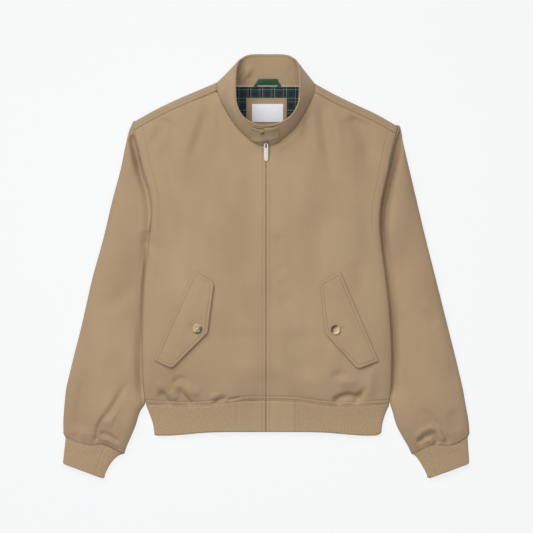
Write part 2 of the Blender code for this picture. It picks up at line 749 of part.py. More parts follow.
def zip_tapes(materials, fronts, tabs):
    """Adds the two tapes under the fronts' edges, from the hem's end to the neck, each set in from the
    inner face of the cloth above it."""
    for side, word in ((-1, "right"), (1, "left")):
        columns = []
        front = fronts[side][:2]
        tab = tabs[side][:2, ::-1]
        lines = np.concatenate([tab, front], axis=1)
        normals = grid_normals(lines)
        normals *= np.sign(normals[..., 2:3])
        inset = lines - normals * (CLOTH + LAY_GAP + 0.1)
        slope = (inset[1] - inset[0]) / (np.abs(inset[1, :, :1]) - np.abs(inset[0, :, :1]))
        for half in (0.4, TAPE_WIDTH):
            columns.append(inset[0] + slope * (half - np.abs(inset[0, :, :1])))
        grid = np.stack(columns)
        add_grid(f"zip_tape_{word}", materials["zip_tape"], grid, TAPE_WALL, flip=side < 0)


def tilt_frame(centre, tilt):
    """Matrix from a tilted piece's own frame, whose Y runs up the collar's slope, to the part's frame."""
    return Matrix.Translation(Vector(centre)) @ Matrix.Rotation(tilt, 4, "X")


def add_solid(name, material, outline, thickness, matrix):
    """Adds a prism whose outline lies in a frame's YZ plane, centred on X."""
    count = len(outline)
    half = thickness / 2
    local = [(-half, y, z) for y, z in outline] + [(half, y, z) for y, z in outline]
    points = [matrix @ Vector(p) for p in local]
    faces = [tuple(range(count)), tuple(reversed(range(count, 2 * count)))]
    faces += [((k + 1) % count, k, k + count, (k + 1) % count + count) for k in range(count)]
    piece = add_mesh(name, material, points, faces)
    mesh = bmesh.new()
    mesh.from_mesh(piece.data)
    bmesh.ops.recalc_face_normals(mesh, faces=mesh.faces)
    mesh.to_mesh(piece.data)
    mesh.free()
    return piece


def join_by_boolean(piece, other, operation):
    """Adds or cuts another solid with a Boolean; the other stays as a guide that isn't part of the jacket."""
    boolean = piece.modifiers.new(operation.lower(), "BOOLEAN")
    boolean.operation = operation
    boolean.object = other
    other.hide_render = True
    other.display_type = "WIRE"


def rectangle(low_y, high_y, low_z, high_z):
    return ((low_y, low_z), (high_y, low_z), (high_y, high_z), (low_y, high_z))


def add_slider(material):
    """Zip slider: plate on the slit, stem down into it, and the bridge that holds the pull."""
    frame = tilt_frame(SLIDER_AT, SLIDER_TILT)
    width, length, plate = PLATE
    reach = length / 2
    piece = add_solid("zip_slider", material, rectangle(-reach, reach, 0, plate), width, frame)
    top = AXIS_RISE + 2.5
    bridge = ((3.2, plate - 0.5), (4.6, plate - 0.5), (4.6, top - 0.6), (4.0, top), (-3.0, top), (-3.6, top - 0.6))
    bridge += ((-3.6, plate + 0.3), (-2.4, plate + 0.3), (-2.4, top - 1.2), (3.2, top - 1.2))
    guide = add_solid("guide_bridge", material, bridge, BRIDGE_WIDTH, frame)
    join_by_boolean(piece, guide, "UNION")
    stem_width, stem_length, depth = STEM
    stem_outline = rectangle(-stem_length / 2, stem_length / 2, -depth, plate / 2)
    guide = add_solid("guide_stem", material, stem_outline, stem_width, frame)
    join_by_boolean(piece, guide, "UNION")


def add_pull(material):
    """Zip pull: a flat tab with a slot near its top; the bar above the slot turns in the slider's bridge."""
    axis = tilt_frame(SLIDER_AT, SLIDER_TILT) @ Vector((0, 0, AXIS_RISE))
    frame = tilt_frame(axis, PULL_TILT)
    outline = [(x, y) for x, y in PULL_OUTLINE] + [(-x, y) for x, y in reversed(PULL_OUTLINE)]
    half = PULL_WALL / 2
    count = len(outline)
    points = [frame @ Vector((x, y, -half)) for x, y in outline]
    points += [frame @ Vector((x, y, half)) for x, y in outline]
    faces = [tuple(range(count)), tuple(reversed(range(count, 2 * count)))]
    faces += [((k + 1) % count, k, k + count, (k + 1) % count + count) for k in range(count)]
    piece = add_mesh("zip_pull", material, points, faces)
    slot_width, slot_top, slot_end = PULL_SLOT
    guide = add_solid("guide_slot", material, rectangle(slot_end, slot_top, -2, 2), slot_width, frame)
    join_by_boolean(piece, guide, "DIFFERENCE")


def resample(grid, rows, wanted):
    """Grid read at other rows, straight between its own."""
    columns = []
    for column in grid:
        columns.append(np.stack([np.interp(wanted, rows, column[:, k]) for k in range(3)], axis=1))
    return np.stack(columns)


def add_collar(materials, fronts, backs):
    """Collar band, the tab over its front and the tab's button."""
    halves = {side: collar_half(side, fronts[side], backs[side]) for side in (-1, 1)}
    collar = np.concatenate([halves[-1][::-1], halves[1][1:]])
    add_grid("collar", materials["twill"], collar, COLLAR_WALL, flip=True)
    ends = np.concatenate([halves[1][-3:], halves[-1][-3:][::-1]])
    tab = resample(ends, COLLAR_ROWS, TAB_ROWS)
    tab[-1] = lerp(tab[-2], tab[-1], 0.75)
    normals = -grid_normals(tab)
    stand = smooth(np.linspace(-0.2, 1.0, len(tab)))[:, None, None] * TAB_STANDOFF
    outer = tab + normals * (stand + LAY_GAP + FLAP_WALL)
    add_grid("collar_tab", materials["twill"], outer, FLAP_WALL, flip=True)
    spot = lerp(lerp(outer[3, 1], outer[4, 1], 0.5), lerp(outer[3, 2], outer[4, 2], 0.5), 0.45)
    normal = Vector(lerp(normals[3, 1], normals[4, 2], 0.5))
    turn = normal.to_track_quat("Z", "Y").to_matrix().to_4x4()
    place = Matrix.Translation(Vector(spot) + normal.normalized() * (LAY_GAP + 0.15)) @ turn
    small = [(r, h * 0.7) for r, h in button_profile(TAB_BUTTON_SIZE)]
    button = add_turned("collar_button", materials["button"], small, (0, 0, 0), 12)
    place.translation *= MM
    button.data.transform(place)


def add_inside_neck(materials, back, collar):
    """Lining, patch, blank label and hanger loop that show inside the neck."""
    half, drop = LINING_SIZE[0] / 2, LINING_SIZE[1]
    floor = surface_ray(back)
    top, low = LINING_Y, LINING_Y - drop
    edges = polyline([(-half, top), (half, top)]), polyline([(-half, low), (half, low)])
    lining = lay_on("lining_back_neck", materials["lining"], edges, 2, 4, [floor], 1.0)
    left, right, low, high = PATCH
    edges = polyline([(left, high), (right, high)]), polyline([(left, low), (right, low)])
    patch = lay_on("label_patch", materials["twill"], edges, 2, 3, [surface_ray(lining)], 1.0)
    left, right, low, high = LABEL
    edges = polyline([(left, high), (right, high)]), polyline([(left, low), (right, low)])
    lay_on("label", materials["label"], edges, 2, 3, [surface_ray(patch)], 1.0)
    foot_y = LINING_Y - 3
    feet = polyline([(LOOP_FOOT[0], foot_y), (LOOP_FOOT[1], foot_y)])
    ends = polyline([(LOOP_TOP[0], foot_y + LOOP_RISE + 3), (LOOP_TOP[1], foot_y + LOOP_RISE + 3)])
    lay_on("hanger_loop", materials["loop"], (ends, feet), 4, 6, [surface_ray(collar), surface_ray(lining)], 1.2)


def main():
    for piece in list(bpy.data.objects):
        bpy.data.objects.remove(piece)
    materials = make_materials()
    fronts, backs, tabs = {}, {}, {}
    for side, word in ((-1, "right"), (1, "left")):
        front, keep = front_grid(side)
        back, back_keep = back_half_grid(side)
        fronts[side], backs[side] = front, back
        panel = add_grid(f"front_{word}", materials["twill"], front, CLOTH, keep, flip=side < 0)
        loop, share, top = armhole_loop(side, front, back)
        sleeve = sleeve_grid(side, loop, share, top)
        add_grid(f"sleeve_{word}", materials["twill"], sleeve, CLOTH, closed=True, flip=side > 0)
        cuff = cuff_grid(side, sleeve[:, -1], share, top)
        add_grid(f"cuff_{word}", materials["rib"], cuff, RIB, closed=True, flip=side > 0)
        tabs[side] = tab_grid(side, front)
        add_grid(f"hem_tab_{word}", materials["twill"], tabs[side], CLOTH, flip=side > 0)
        height = surface_ray(panel)
        corners, spot = ((FLAP_RIGHT, BUTTON_RIGHT), (FLAP_LEFT, BUTTON_LEFT))[side > 0]
        flap = pocket_flap(f"pocket_flap_{word}", materials["twill"], corners, height)
        seat = (*spot, surface_ray(flap)(*spot) + LAY_GAP + 0.1)
        add_turned(f"pocket_button_{word}", materials["button"], button_profile(BUTTON_SIZE), seat)
    both_keep = np.concatenate([back_keep[::-1], back_keep])
    whole_back = np.concatenate([backs[-1][::-1], backs[1][1:]])
    back = add_grid("back_panel", materials["twill"], whole_back, CLOTH, both_keep, flip=True)
    add_grid("hem_rib", materials["rib"], rib_band_grid(fronts, backs), RIB)
    add_collar(materials, fronts, backs)
    zip_tapes(materials, fronts, tabs)
    add_slider(materials["zip_metal"])
    add_pull(materials["zip_metal"])
    add_inside_neck(materials, back, bpy.data.objects["collar"])


main()
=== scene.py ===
"""Harrington jacket laid flat on its back: the cloth, trims and studio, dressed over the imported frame.

Sizes are in millimetres in the jacket's own frame, +X to the wearer's left, +Y to the collar and +Z up out
of the front, and go to metres once, in write_piece(). Every cloth piece is a grid of points on its outer
face; a Solidify modifier gives it its wall.
"""

import logging
import math
from dataclasses import dataclass, field
from enum import Enum
from typing import Iterable, Sequence

import bpy
import numpy as np
from mathutils import Matrix, Vector


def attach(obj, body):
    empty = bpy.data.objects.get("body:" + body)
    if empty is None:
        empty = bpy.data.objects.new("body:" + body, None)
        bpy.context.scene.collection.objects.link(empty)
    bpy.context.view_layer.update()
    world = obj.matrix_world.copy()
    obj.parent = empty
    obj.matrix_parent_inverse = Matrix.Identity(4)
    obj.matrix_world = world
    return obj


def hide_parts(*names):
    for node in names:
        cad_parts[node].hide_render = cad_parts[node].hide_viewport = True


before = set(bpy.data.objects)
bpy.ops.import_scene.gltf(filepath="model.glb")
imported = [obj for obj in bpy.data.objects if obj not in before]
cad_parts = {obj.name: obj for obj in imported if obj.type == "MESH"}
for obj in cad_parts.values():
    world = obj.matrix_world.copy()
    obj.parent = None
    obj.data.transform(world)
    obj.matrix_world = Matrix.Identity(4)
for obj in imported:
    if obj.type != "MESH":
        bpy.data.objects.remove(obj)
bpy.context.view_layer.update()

LOG = logging.getLogger("jacket")
MM = 0.001
JACKET = "jacket"
PULL = "zip_pull"
QUARTER = np.radians((15, 30, 45, 60, 75, 90))  # steps of a quarter bend of cloth

Array = np.ndarray
Pair = tuple[float, float]
Four = tuple[float, float, float, float]
Table = tuple[tuple[float, ...], ...]
Node = bpy.types.NodeSocket
Tree = bpy.types.NodeTree


class Side(Enum):
    """The wearer's two sides; the value is the sign of X there."""

    RIGHT = -1
    LEFT = 1

    @property
    def word(self) -> str:
        """The side's name as the nodes use it."""
        return self.name.lower()

    @property
    def column(self) -> int:
        """The side's column in a table of two-sided sizes."""
        return 1 if self is Side.RIGHT else 2


# --- numbers


def smooth(value: Array | float) -> Array:
    """Smooth step: 3t^2 - 2t^3 of the value held between 0 and 1."""
    t = np.clip(value, 0.0, 1.0)
    return t * t * (3 - 2 * t)


def lerp(start: Array, end: Array, share: Array | float) -> Array:
    """Straight mix of start and end: start + (end - start) * share."""
    return start + (end - start) * share


def bell(distance: Array, width: float) -> Array:
    """Bell curve of a distance: exp(-(distance / width)^2)."""
    return np.exp(-((distance / width) ** 2))


def fade(distance: Array, width: float) -> Array:
    """Decay from an edge: exp(-distance / width)."""
    return np.exp(-distance / width)


def unit(vectors: Array) -> Array:
    """Vectors scaled to length 1."""
    return vectors / np.maximum(np.linalg.norm(vectors, axis=-1, keepdims=True), 1e-9)


def lengths(points: Array) -> Array:
    """Length along a line up to each of its points, from 0."""
    return np.concatenate([[0], np.cumsum(np.linalg.norm(np.diff(points, axis=0), axis=1))])


def read_at(key: Array, keys: Array, rows: Array) -> Array:
    """Rows of a table read at keys, straight between its own rows."""
    return np.stack([np.interp(key, keys, column) for column in rows.T], axis=1)


def nearest(values: Array, value: float) -> int:
    """Index of the value that lies nearest."""
    return int(np.argmin(np.abs(values - value)))


def spaced(stops: Sequence[Pair]) -> Array:
    """Rising values whose spacing changes from stretch to stretch.

    Args:
        stops: Rows of (value, spacing up to the next row's value); the last row's spacing isn't used.

    Returns:
        Values from the first stop to the last, each stretch cut into equal steps.
    """
    parts = []
    for (low, step), (high, _) in zip(stops, stops[1:]):
        parts.append(np.linspace(low, high, max(1, round((high - low) / step)), endpoint=False))
    return np.concatenate(parts + [np.array([stops[-1][0]])])


@dataclass(frozen=True)
class Curve:
    """Smooth curve through a table's rows, whose first column is the key."""

    rows: Table

    def at(self, key: Array | float, column: int = 1) -> Array:
        """Cubic Hermite pieces with the slopes of the neighbouring chords, held at the table's ends.

        Args:
            key: Where to read the curve.
            column: Which column of the table to read.

        Returns:
            The curve's values, shaped like key.
        """
        table = np.array(sorted(self.rows), float)
        keys, values = table[:, 0], table[:, column]
        slopes = np.gradient(values, keys)
        key = np.clip(key, keys[0], keys[-1])
        row = np.clip(np.searchsorted(keys, key) - 1, 0, len(keys) - 2)
        step = keys[row + 1] - keys[row]
        t = (key - keys[row]) / step
        ends = values[row] * (1 + 2 * t) * (1 - t) ** 2 + values[row + 1] * t * t * (3 - 2 * t)
        return ends + step * (slopes[row] * t * (1 - t) ** 2 - slopes[row + 1] * t * t * (1 - t))


@dataclass(frozen=True)
class Fold:
    """A crease (negative height) or ridge (positive height) laid along a short line on the plan."""

    line: Table
    height: float
    width: float
    ends: Pair = (0.35, 0.35)  # shares of its length over which each end dies out
    steep: float = 0.0  # how much narrower it is to the left of its direction, from 0 to 1

    def lift(self, x: Array, y: Array) -> Array:
        """Height it adds: a bell of the distance to its line, faded towards the line's ends.

        Args:
            x: Plan x of the points.
            y: Plan y of the points.

        Returns:
            Height at each point.
        """
        nodes = np.array(self.line, float)
        shares = lengths(nodes) / lengths(nodes)[-1]
        best = np.full(np.shape(x), 1e9)
        place = np.zeros(np.shape(x))
        for k, (a, b) in enumerate(zip(nodes, nodes[1:])):
            run = b - a
            along = np.clip(((x - a[0]) * run[0] + (y - a[1]) * run[1]) / (run @ run), 0, 1)
            dx, dy = x - a[0] - along * run[0], y - a[1] - along * run[1]
            away = np.hypot(dx, dy) / (1 - self.steep * np.sign(run[0] * dy - run[1] * dx))
            place = np.where(away < best, lerp(shares[k], shares[k + 1], along), place)
            best = np.minimum(best, away)
        start, end = (smooth(way / part) if part else 1.0 for way, part in zip((place, 1 - place), self.ends))
        return self.height * bell(best, self.width) * start * end


def total_lift(folds: Iterable[Fold], x: Array, y: Array) -> Array:
    """Sum of the folds' heights at plan points."""
    return sum((fold.lift(x, y) for fold in folds), np.zeros(np.broadcast(x, y).shape))


def rumple(x: Array, y: Array, seed: int, size: float) -> Array:
    """Soft unevenness of cloth at rest: a sum of plane waves of seeded direction and phase, mostly upright.

    Args:
        x: Plan x of the points.
        y: Plan y of the points.
        seed: Seed of the waves.
        size: Height of the strongest wave.

    Returns:
        Height to add at each point.
    """
    chance = np.random.default_rng(seed)
    height = np.zeros(np.broadcast(x, y).shape)
    for wave in (210.0, 150.0, 105.0, 74.0, 52.0):
        turn, phase = chance.uniform(-0.55, 0.55), chance.uniform(0, 2 * math.pi)
        along = x * math.cos(turn) + y * math.sin(turn)
        across = y * math.cos(turn) - x * math.sin(turn)
        bend = 0.9 * np.sin(across * 2 * math.pi / (wave * 2.6) + phase * 1.7)
        height = height + size * (wave / 210.0) ** 1.15 * np.sin(along * 2 * math.pi / wave + phase + bend)
    return height


# --- finishes


def linear(code: str) -> Four:
    """Linear colour of an sRGB hex code."""
    parts = [int(code[k : k + 2], 16) / 255 for k in (1, 3, 5)]
    return (*(p / 12.92 if p <= 0.04045 else ((p + 0.055) / 1.055) ** 2.4 for p in parts), 1.0)


def add_node(
    tree: Tree, kind: str, inputs: dict | None = None, stops: Sequence[tuple[float, str]] = (),
    to: Node | None = None, **settings,
) -> bpy.types.NodeOutputs:
    """Adds a shader node with its settings, its input values and its links.

    Args:
        tree: The node tree.
        kind: The node's type name after its first word, ShaderNode.
        inputs: Input name or number to a value, or to the output socket that feeds it.
        stops: Positions and sRGB hex codes of a colour ramp.
        to: Input socket that its first output feeds.
        settings: Properties of the node.

    Returns:
        The new node's outputs.
    """
    node = tree.nodes.new(f"ShaderNode{kind}")
    for key, value in settings.items():
        setattr(node, key, value)
    for key, value in (inputs or {}).items():
        if isinstance(value, Node):
            tree.links.new(value, node.inputs[key])
        else:
            node.inputs[key].default_value = value
    for k, (position, code) in enumerate(stops):
        elements = node.color_ramp.elements
        stop = elements[k] if k < 2 else elements.new(position)
        stop.position, stop.color = position, linear(code)
    if to is not None:
        tree.links.new(node.outputs[0], to)
    return node.outputs


def new_material(name: str, constants: dict[str, float]) -> tuple[bpy.types.Material, Tree, Node]:
    """A Principled material.

    Args:
        name: Its name.
        constants: Shader input to a constant value.

    Returns:
        The material, its tree and the shader's inputs.
    """
    material = bpy.data.materials.new(name)
    material.use_nodes = True
    inputs = material.node_tree.nodes["Principled BSDF"].inputs
    for socket, value in constants.items():
        inputs[socket].default_value = value
    return material, material.node_tree, inputs


def grain(place: Node, size: float, detail: float = 2.0) -> dict:
    """Inputs of a noise at a grain size in millimetres, on coordinates in metres."""
    return {"Vector": place, "Scale": 1 / (size * MM), "Detail": detail}


def wave_scale(pitch: float) -> float:
    """Scale of a band wave with a pitch in millimetres: it repeats every 2 pi / (20 * scale)."""
    return 2 * math.pi / (20 * pitch * MM)


@dataclass(frozen=True)
class TwillFinish:
    """Washed cotton twill: fine diagonal wales, a matt soft sheen and faint clouds in the dye."""

    name: str = "washed_cotton_twill"
    light: str = "#AF9779"
    dark: str = "#A68D71"
    wale_pitch: float = 1.3  # real wales are 0.5 apart; drawn this coarse so that they show
    wale_turn: float = 63.0
    ridge: float = 0.10
    cloud: float = 62.0  # size of the dye's clouds
    cloud_stretch: float = 0.45  # they are drawn out along the cloth
    cloudy: float = 0.72  # the clouds' share of the colour's mix; the rest is the fibres'
    fibre: float = 1.6

    def material(self) -> bpy.types.Material:
        """Dye clouds in the colour, wales and slubs in the bump, on the piece's own flat coordinates."""
        constants = {"Roughness": 0.86, "Sheen Weight": 0.12, "Sheen Roughness": 0.6}
        made, tree, shader = new_material(self.name, constants | {"Specular IOR Level": 0.25})
        flat = add_node(tree, "UVMap", uv_map="flat")["UV"]
        place = add_node(tree, "TexCoord")["Object"]
        drawn = add_node(tree, "Mapping", {"Vector": place, "Scale": (1.0, self.cloud_stretch, 1.0)})[0]
        clouds = add_node(tree, "TexNoise", grain(drawn, self.cloud))["Fac"]
        fibres = add_node(tree, "TexNoise", grain(flat, self.fibre))["Fac"]
        mixed = add_node(tree, "Math", {0: clouds, 1: self.cloudy}, operation="MULTIPLY")[0]
        mixed = add_node(tree, "Math", {0: fibres, 1: 1 - self.cloudy, 2: mixed}, operation="MULTIPLY_ADD")[0]
        stops = ((0.36, self.dark), (0.66, self.light))
        add_node(tree, "ValToRGB", {"Fac": mixed}, stops, shader["Base Color"])
        turn = (0, 0, math.radians(self.wale_turn))
        turned = add_node(tree, "Mapping", {"Vector": flat, "Rotation": turn})[0]
        shape = {"Vector": turned, "Scale": wave_scale(self.wale_pitch), "Distortion": 0.6, "Detail": 1.0}
        wales = add_node(tree, "TexWave", shape)["Fac"]
        relief = add_node(tree, "Math", {0: fibres, 1: 0.8, 2: wales}, operation="MULTIPLY_ADD")[0]
        bump = {"Height": relief, "Strength": 0.35, "Distance": self.ridge * MM}
        add_node(tree, "Bump", bump, to=shader["Normal"])
        return made


@dataclass(frozen=True)
class RibFinish:
    """Rib-knit cotton: the ribs are in the mesh; the yarn's loops and heather are here."""

    name: str = "rib_knit_cotton"
    light: str = "#BCA385"
    dark: str = "#A28A6C"
    loop_pitch: float = 1.5
    heather: float = 2.2  # size of the yarn's lighter and darker spots
    relief: float = 0.2

    def material(self) -> bpy.types.Material:
        """Loops as a wave along the rib and heathered noise, on the piece's own flat coordinates."""
        constants = {"Roughness": 0.9, "Sheen Weight": 0.15, "Specular IOR Level": 0.2}
        made, tree, shader = new_material(self.name, constants)
        flat = add_node(tree, "UVMap", uv_map="flat")["UV"]
        spots = add_node(tree, "TexNoise", grain(flat, self.heather, 3.0))["Fac"]
        stops = ((0.32, self.dark), (0.68, self.light))
        add_node(tree, "ValToRGB", {"Fac": spots}, stops, shader["Base Color"])
        shape = {"Vector": flat, "Scale": wave_scale(self.loop_pitch), "Distortion": 1.5, "Detail": 1.0}
        loops = add_node(tree, "TexWave", shape, bands_direction="Y")["Fac"]
        bump = {"Height": loops, "Strength": 0.5, "Distance": self.relief * MM}
        add_node(tree, "Bump", bump, to=shader["Normal"])
        return made


@dataclass(frozen=True)
class PlainFinish:
    """A finish of one colour with fine grain in its bump: thread, tape, ribbon or plate."""

    name: str
    light: str
    dark: str
    grain: float
    depth: float
    roughness: float
    metallic: float = 0.0
    sheen: float = 0.0

    def material(self) -> bpy.types.Material:
        """Noise at the grain's size mixes the two tones and gives the bump, on Object coordinates."""
        constants = {"Roughness": self.roughness, "Metallic": self.metallic, "Sheen Weight": self.sheen}
        made, tree, shader = new_material(self.name, constants)
        place = add_node(tree, "TexCoord")["Object"]
        noise = add_node(tree, "TexNoise", grain(place, self.grain))["Fac"]
        stops = ((0.35, self.dark), (0.65, self.light))
        add_node(tree, "ValToRGB", {"Fac": noise}, stops, shader["Base Color"])
        if self.depth:
            bump = {"Height": noise, "Strength": 0.4, "Distance": self.depth * MM}
            add_node(tree, "Bump", bump, to=shader["Normal"])
        return made


@dataclass(frozen=True)
class CheckFinish:
    """Brushed cotton in a traditional dark check: broad navy and green bands under thin paired lines."""

    name: str = "brushed_cotton_check"
    repeat: float = 22.0  # from one pair of pale lines to the next
    start: Pair = (-30.7, 307.5)  # where two pairs cross, in the jacket's frame
    # The ground and stripe colours are the check's own, set darker overall as painted shade for the inside of
    # the neck.
    ground: str = "#121533"
    # Columns: colour, middle of the stripe in repeats, its width in repeats, its strength.
    stripes: tuple[tuple[str, float, float, float], ...] = (
        ("#0C4A38", 0.23, 0.20, 0.60), ("#0C4A38", 0.77, 0.20, 0.60), ("#0A0D15", 0.0, 0.21, 0.70),
        ("#3E1A38", 0.5, 0.16, 0.34), ("#CFD4CB", 0.107, 0.024, 0.50), ("#CFD4CB", -0.107, 0.024, 0.36),
    )
    nap: float = 1.4  # grain of the brushed face
    nap_depth: float = 0.15

    def band(self, tree: Tree, axis: Node, centre: float, width: float) -> Node:
        """1 inside a stripe and 0 outside: |fract(x - centre + 0.5) - 0.5| < width / 2, all in repeats.

        Args:
            tree: The node tree.
            axis: Coordinate across the stripe.
            centre: The stripe's middle.
            width: The stripe's width.

        Returns:
            Output socket of the mask.
        """
        steps = {"ADD": 0.5 - centre, "FRACT": 0, "SUBTRACT": 0.5, "ABSOLUTE": 0, "LESS_THAN": width / 2}
        for operation, operand in steps.items():
            axis = add_node(tree, "Math", {0: axis, 1: operand}, operation=operation)[0]
        return axis

    def material(self) -> bpy.types.Material:
        """Stripes of both directions laid over the ground, each at part strength so that crossings deepen."""
        made, tree, shader = new_material(self.name, {"Roughness": 0.92, "Sheen Weight": 0.1})
        place = add_node(tree, "TexCoord")["Object"]
        scale = (1 / (self.repeat * MM),) * 3
        shift = (-self.start[0] / self.repeat, -self.start[1] / self.repeat, 0)
        scaled = add_node(tree, "Mapping", {"Vector": place, "Scale": scale, "Location": shift})[0]
        axes = add_node(tree, "SeparateXYZ", {"Vector": scaled})
        colour = add_node(tree, "RGB")[0]
        colour.default_value = linear(self.ground)
        for code, centre, width, strength in self.stripes:
            for axis in (axes["X"], axes["Y"]):
                mask = self.band(tree, axis, centre, width)
                share = add_node(tree, "Math", {0: mask, 1: strength}, operation="MULTIPLY")[0]
                # Inputs 0, 6 and 7 and output 2 of this node are its factor, its two colours and their mix.
                colour = add_node(tree, "Mix", {0: share, 6: colour, 7: linear(code)}, data_type="RGBA")[2]
        tree.links.new(colour, shader["Base Color"])
        noise = add_node(tree, "TexNoise", grain(place, self.nap))["Fac"]
        bump = {"Height": noise, "Strength": 0.5, "Distance": self.nap_depth * MM}
        add_node(tree, "Bump", bump, to=shader["Normal"])
        return made


@dataclass(frozen=True)
class HornFinish:
    """Polished horn-like resin: cream, with a brown smoke that fills one side of each button."""

    name: str
    centre: Pair
    smoke_turn: float  # direction in which the smoke lies, degrees from +X
    size: float = 18.0
    cream: str = "#BFAA80"
    amber: str = "#8C6D40"
    smoke: str = "#2A1C10"
    swirl: float = 6.0  # size of the noise that stirs the smoke

    def material(self) -> bpy.types.Material:
        """A gradient across the button, stirred by noise, read through cream, amber and smoke."""
        constants = {"Roughness": 0.28, "Coat Weight": 0.5, "Coat Roughness": 0.1}
        made, tree, shader = new_material(self.name, constants)
        place = add_node(tree, "TexCoord")["Object"]
        turn = math.radians(self.smoke_turn)
        away = Vector((*self.centre, 0)) * MM
        centred = add_node(tree, "VectorMath", {0: place, 1: away}, operation="SUBTRACT")[0]
        toward = (math.cos(turn) / (self.size * MM), math.sin(turn) / (self.size * MM), 0)
        slope = add_node(tree, "VectorMath", {0: centred, 1: toward}, operation="DOT_PRODUCT")["Value"]
        noise = add_node(tree, "TexNoise", grain(place, self.swirl, 3.0))["Fac"]
        stirred = add_node(tree, "Math", {0: noise, 1: 0.55, 2: slope}, operation="MULTIPLY_ADD")[0]
        stops = ((0.24, self.cream), (0.62, self.smoke), (0.42, self.amber))
        add_node(tree, "ValToRGB", {"Fac": stirred}, stops, shader["Base Color"])
        return made


@dataclass(frozen=True)
class Bolt:
    """A made finish, the name of a slot and the last word of its pieces' names."""

    material: bpy.types.Material
    slot: str
    word: str = ""


class Wardrobe:
    """Every finish that several pieces share, made once."""

    def __init__(self) -> None:
        """Makes the cloths, then the plain finishes, whose columns are those of PlainFinish."""
        self.twill = Bolt(TwillFinish().material(), "twill", "cloth")
        # The hem band's woven ends take a lighter copy of the same twill.
        pressed = TwillFinish("pressed_cotton_twill", "#B59D7E", "#AD9476")
        self.pressed = Bolt(pressed.material(), "twill", "cloth")
        self.rib = Bolt(RibFinish().material(), "rib", "knit")
        self.check = Bolt(CheckFinish().material(), "lining", "check")
        plain = {
            "thread": ("twill", "", "polyester_thread", "#A08869", "#897354", 0.8, 0.0, 0.6),
            "pale_thread": ("twill", "", "pale_thread", "#D9CDB0", "#C6B894", 0.8, 0.0, 0.6),
            "zip_tape": ("zip_tape", "woven", "woven_zip_tape", "#97805F", "#7D674A", 0.9, 0.15, 0.85),
            "coil": ("zip_tape", "", "nylon_coil", "#8F7856", "#7A6445", 1.0, 0.0, 0.45),
            "loop": ("loop", "tape", "green_woven_tape", "#11512F", "#0B3E24", 1.1, 0.2, 0.7, 0.0, 0.1),
            "label": ("label", "ribbon", "white_satin_ribbon", "#F0F2F9", "#E8EAF3", 1.0, 0.05, 0.55),
            "nickel": ("zip_metal", "nickel", "polished_nickel", "#B9B6B0", "#ABA7A0", 3.0, 0.0, 0.24, 1.0),
        }
        for key, (slot, word, *looks) in plain.items():
            setattr(self, key, Bolt(PlainFinish(*looks).material(), slot, word))


# --- meshes


def grid_quads(columns: int, rows: int, closed: bool = False) -> Array:
    """Corner numbers of a grid's cells, column by column; closed joins the last column to the first."""
    i, j = np.meshgrid(np.arange(columns if closed else columns - 1), np.arange(rows - 1), indexing="ij")
    after = (i + 1) % columns
    return np.stack([i * rows + j, after * rows + j, after * rows + j + 1, i * rows + j + 1], axis=-1)


def grid_lengths(grid: Array) -> Array:
    """Flat coordinates of a grid's points in metres: mean lengths across and along it."""
    across = np.linalg.norm(np.diff(grid, axis=0), axis=2).mean(axis=1)
    along = np.linalg.norm(np.diff(grid, axis=1), axis=2).mean(axis=0)
    u, v = (np.concatenate([[0], np.cumsum(steps)]) * MM for steps in (across, along))
    return np.stack(np.meshgrid(u, v, indexing="ij"), axis=-1)


def grid_normals(grid: Array) -> Array:
    """Unit normals of a grid: the cross product of its differences across and along."""
    return unit(np.cross(np.gradient(grid, axis=0), np.gradient(grid, axis=1)))


def write_piece(
    name: str, points: Array, faces: Iterable, bolt: Bolt, node: str = "", body: str = JACKET,
    flat: Array | None = None, wall: float = 0.0, round_edge: float = 0.0, sharp: float = 0.0,
) -> bpy.types.Object:
    """Writes a mesh object from points in millimetres and hands it to the frame.

    Args:
        name: Object name.
        points: Points, n by 3.
        faces: Corner numbers of each face, turned so that the face points outwards.
        bolt: Its finish and slot.
        node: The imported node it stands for, if it does.
        body: The body it rides on.
        flat: Flat coordinates of the points in metres, n by 2, for the UV map.
        wall: Thickness given inwards by a Solidify modifier.
        round_edge: Radius of a Bevel modifier on the wall's rim.
        sharp: Angle in degrees past which an edge is shaded sharp, if any.

    Returns:
        The new object.
    """
    mesh = bpy.data.meshes.new(name)
    mesh.from_pydata((points * MM).tolist(), [], [list(map(int, face)) for face in faces])
    if flat is not None:
        layer = mesh.uv_layers.new(name="flat")
        corners = np.zeros(len(mesh.loops), np.int32)
        mesh.loops.foreach_get("vertex_index", corners)
        layer.data.foreach_set("uv", flat[corners].astype(np.float32).ravel())
    mesh.validate()
    mesh.shade_smooth()
    if sharp:
        mesh.set_sharp_from_angle(angle=math.radians(sharp))
    mesh.materials.append(bolt.material)
    piece = bpy.data.objects.new(name, mesh)
    bpy.context.scene.collection.objects.link(piece)
    if wall:
        solidify = piece.modifiers.new("wall", "SOLIDIFY")
        solidify.thickness, solidify.offset = wall * MM, -1.0
    if round_edge:
        bevel = piece.modifiers.new("rim", "BEVEL")
        bevel.width, bevel.segments = round_edge * MM, 3
        bevel.limit_method, bevel.angle_limit = "ANGLE", math.radians(50)
        bevel.harden_normals = False
    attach(piece, body)
    if node:
        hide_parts(node)
    LOG.info("%s: %d faces", name, len(faces))
    return piece


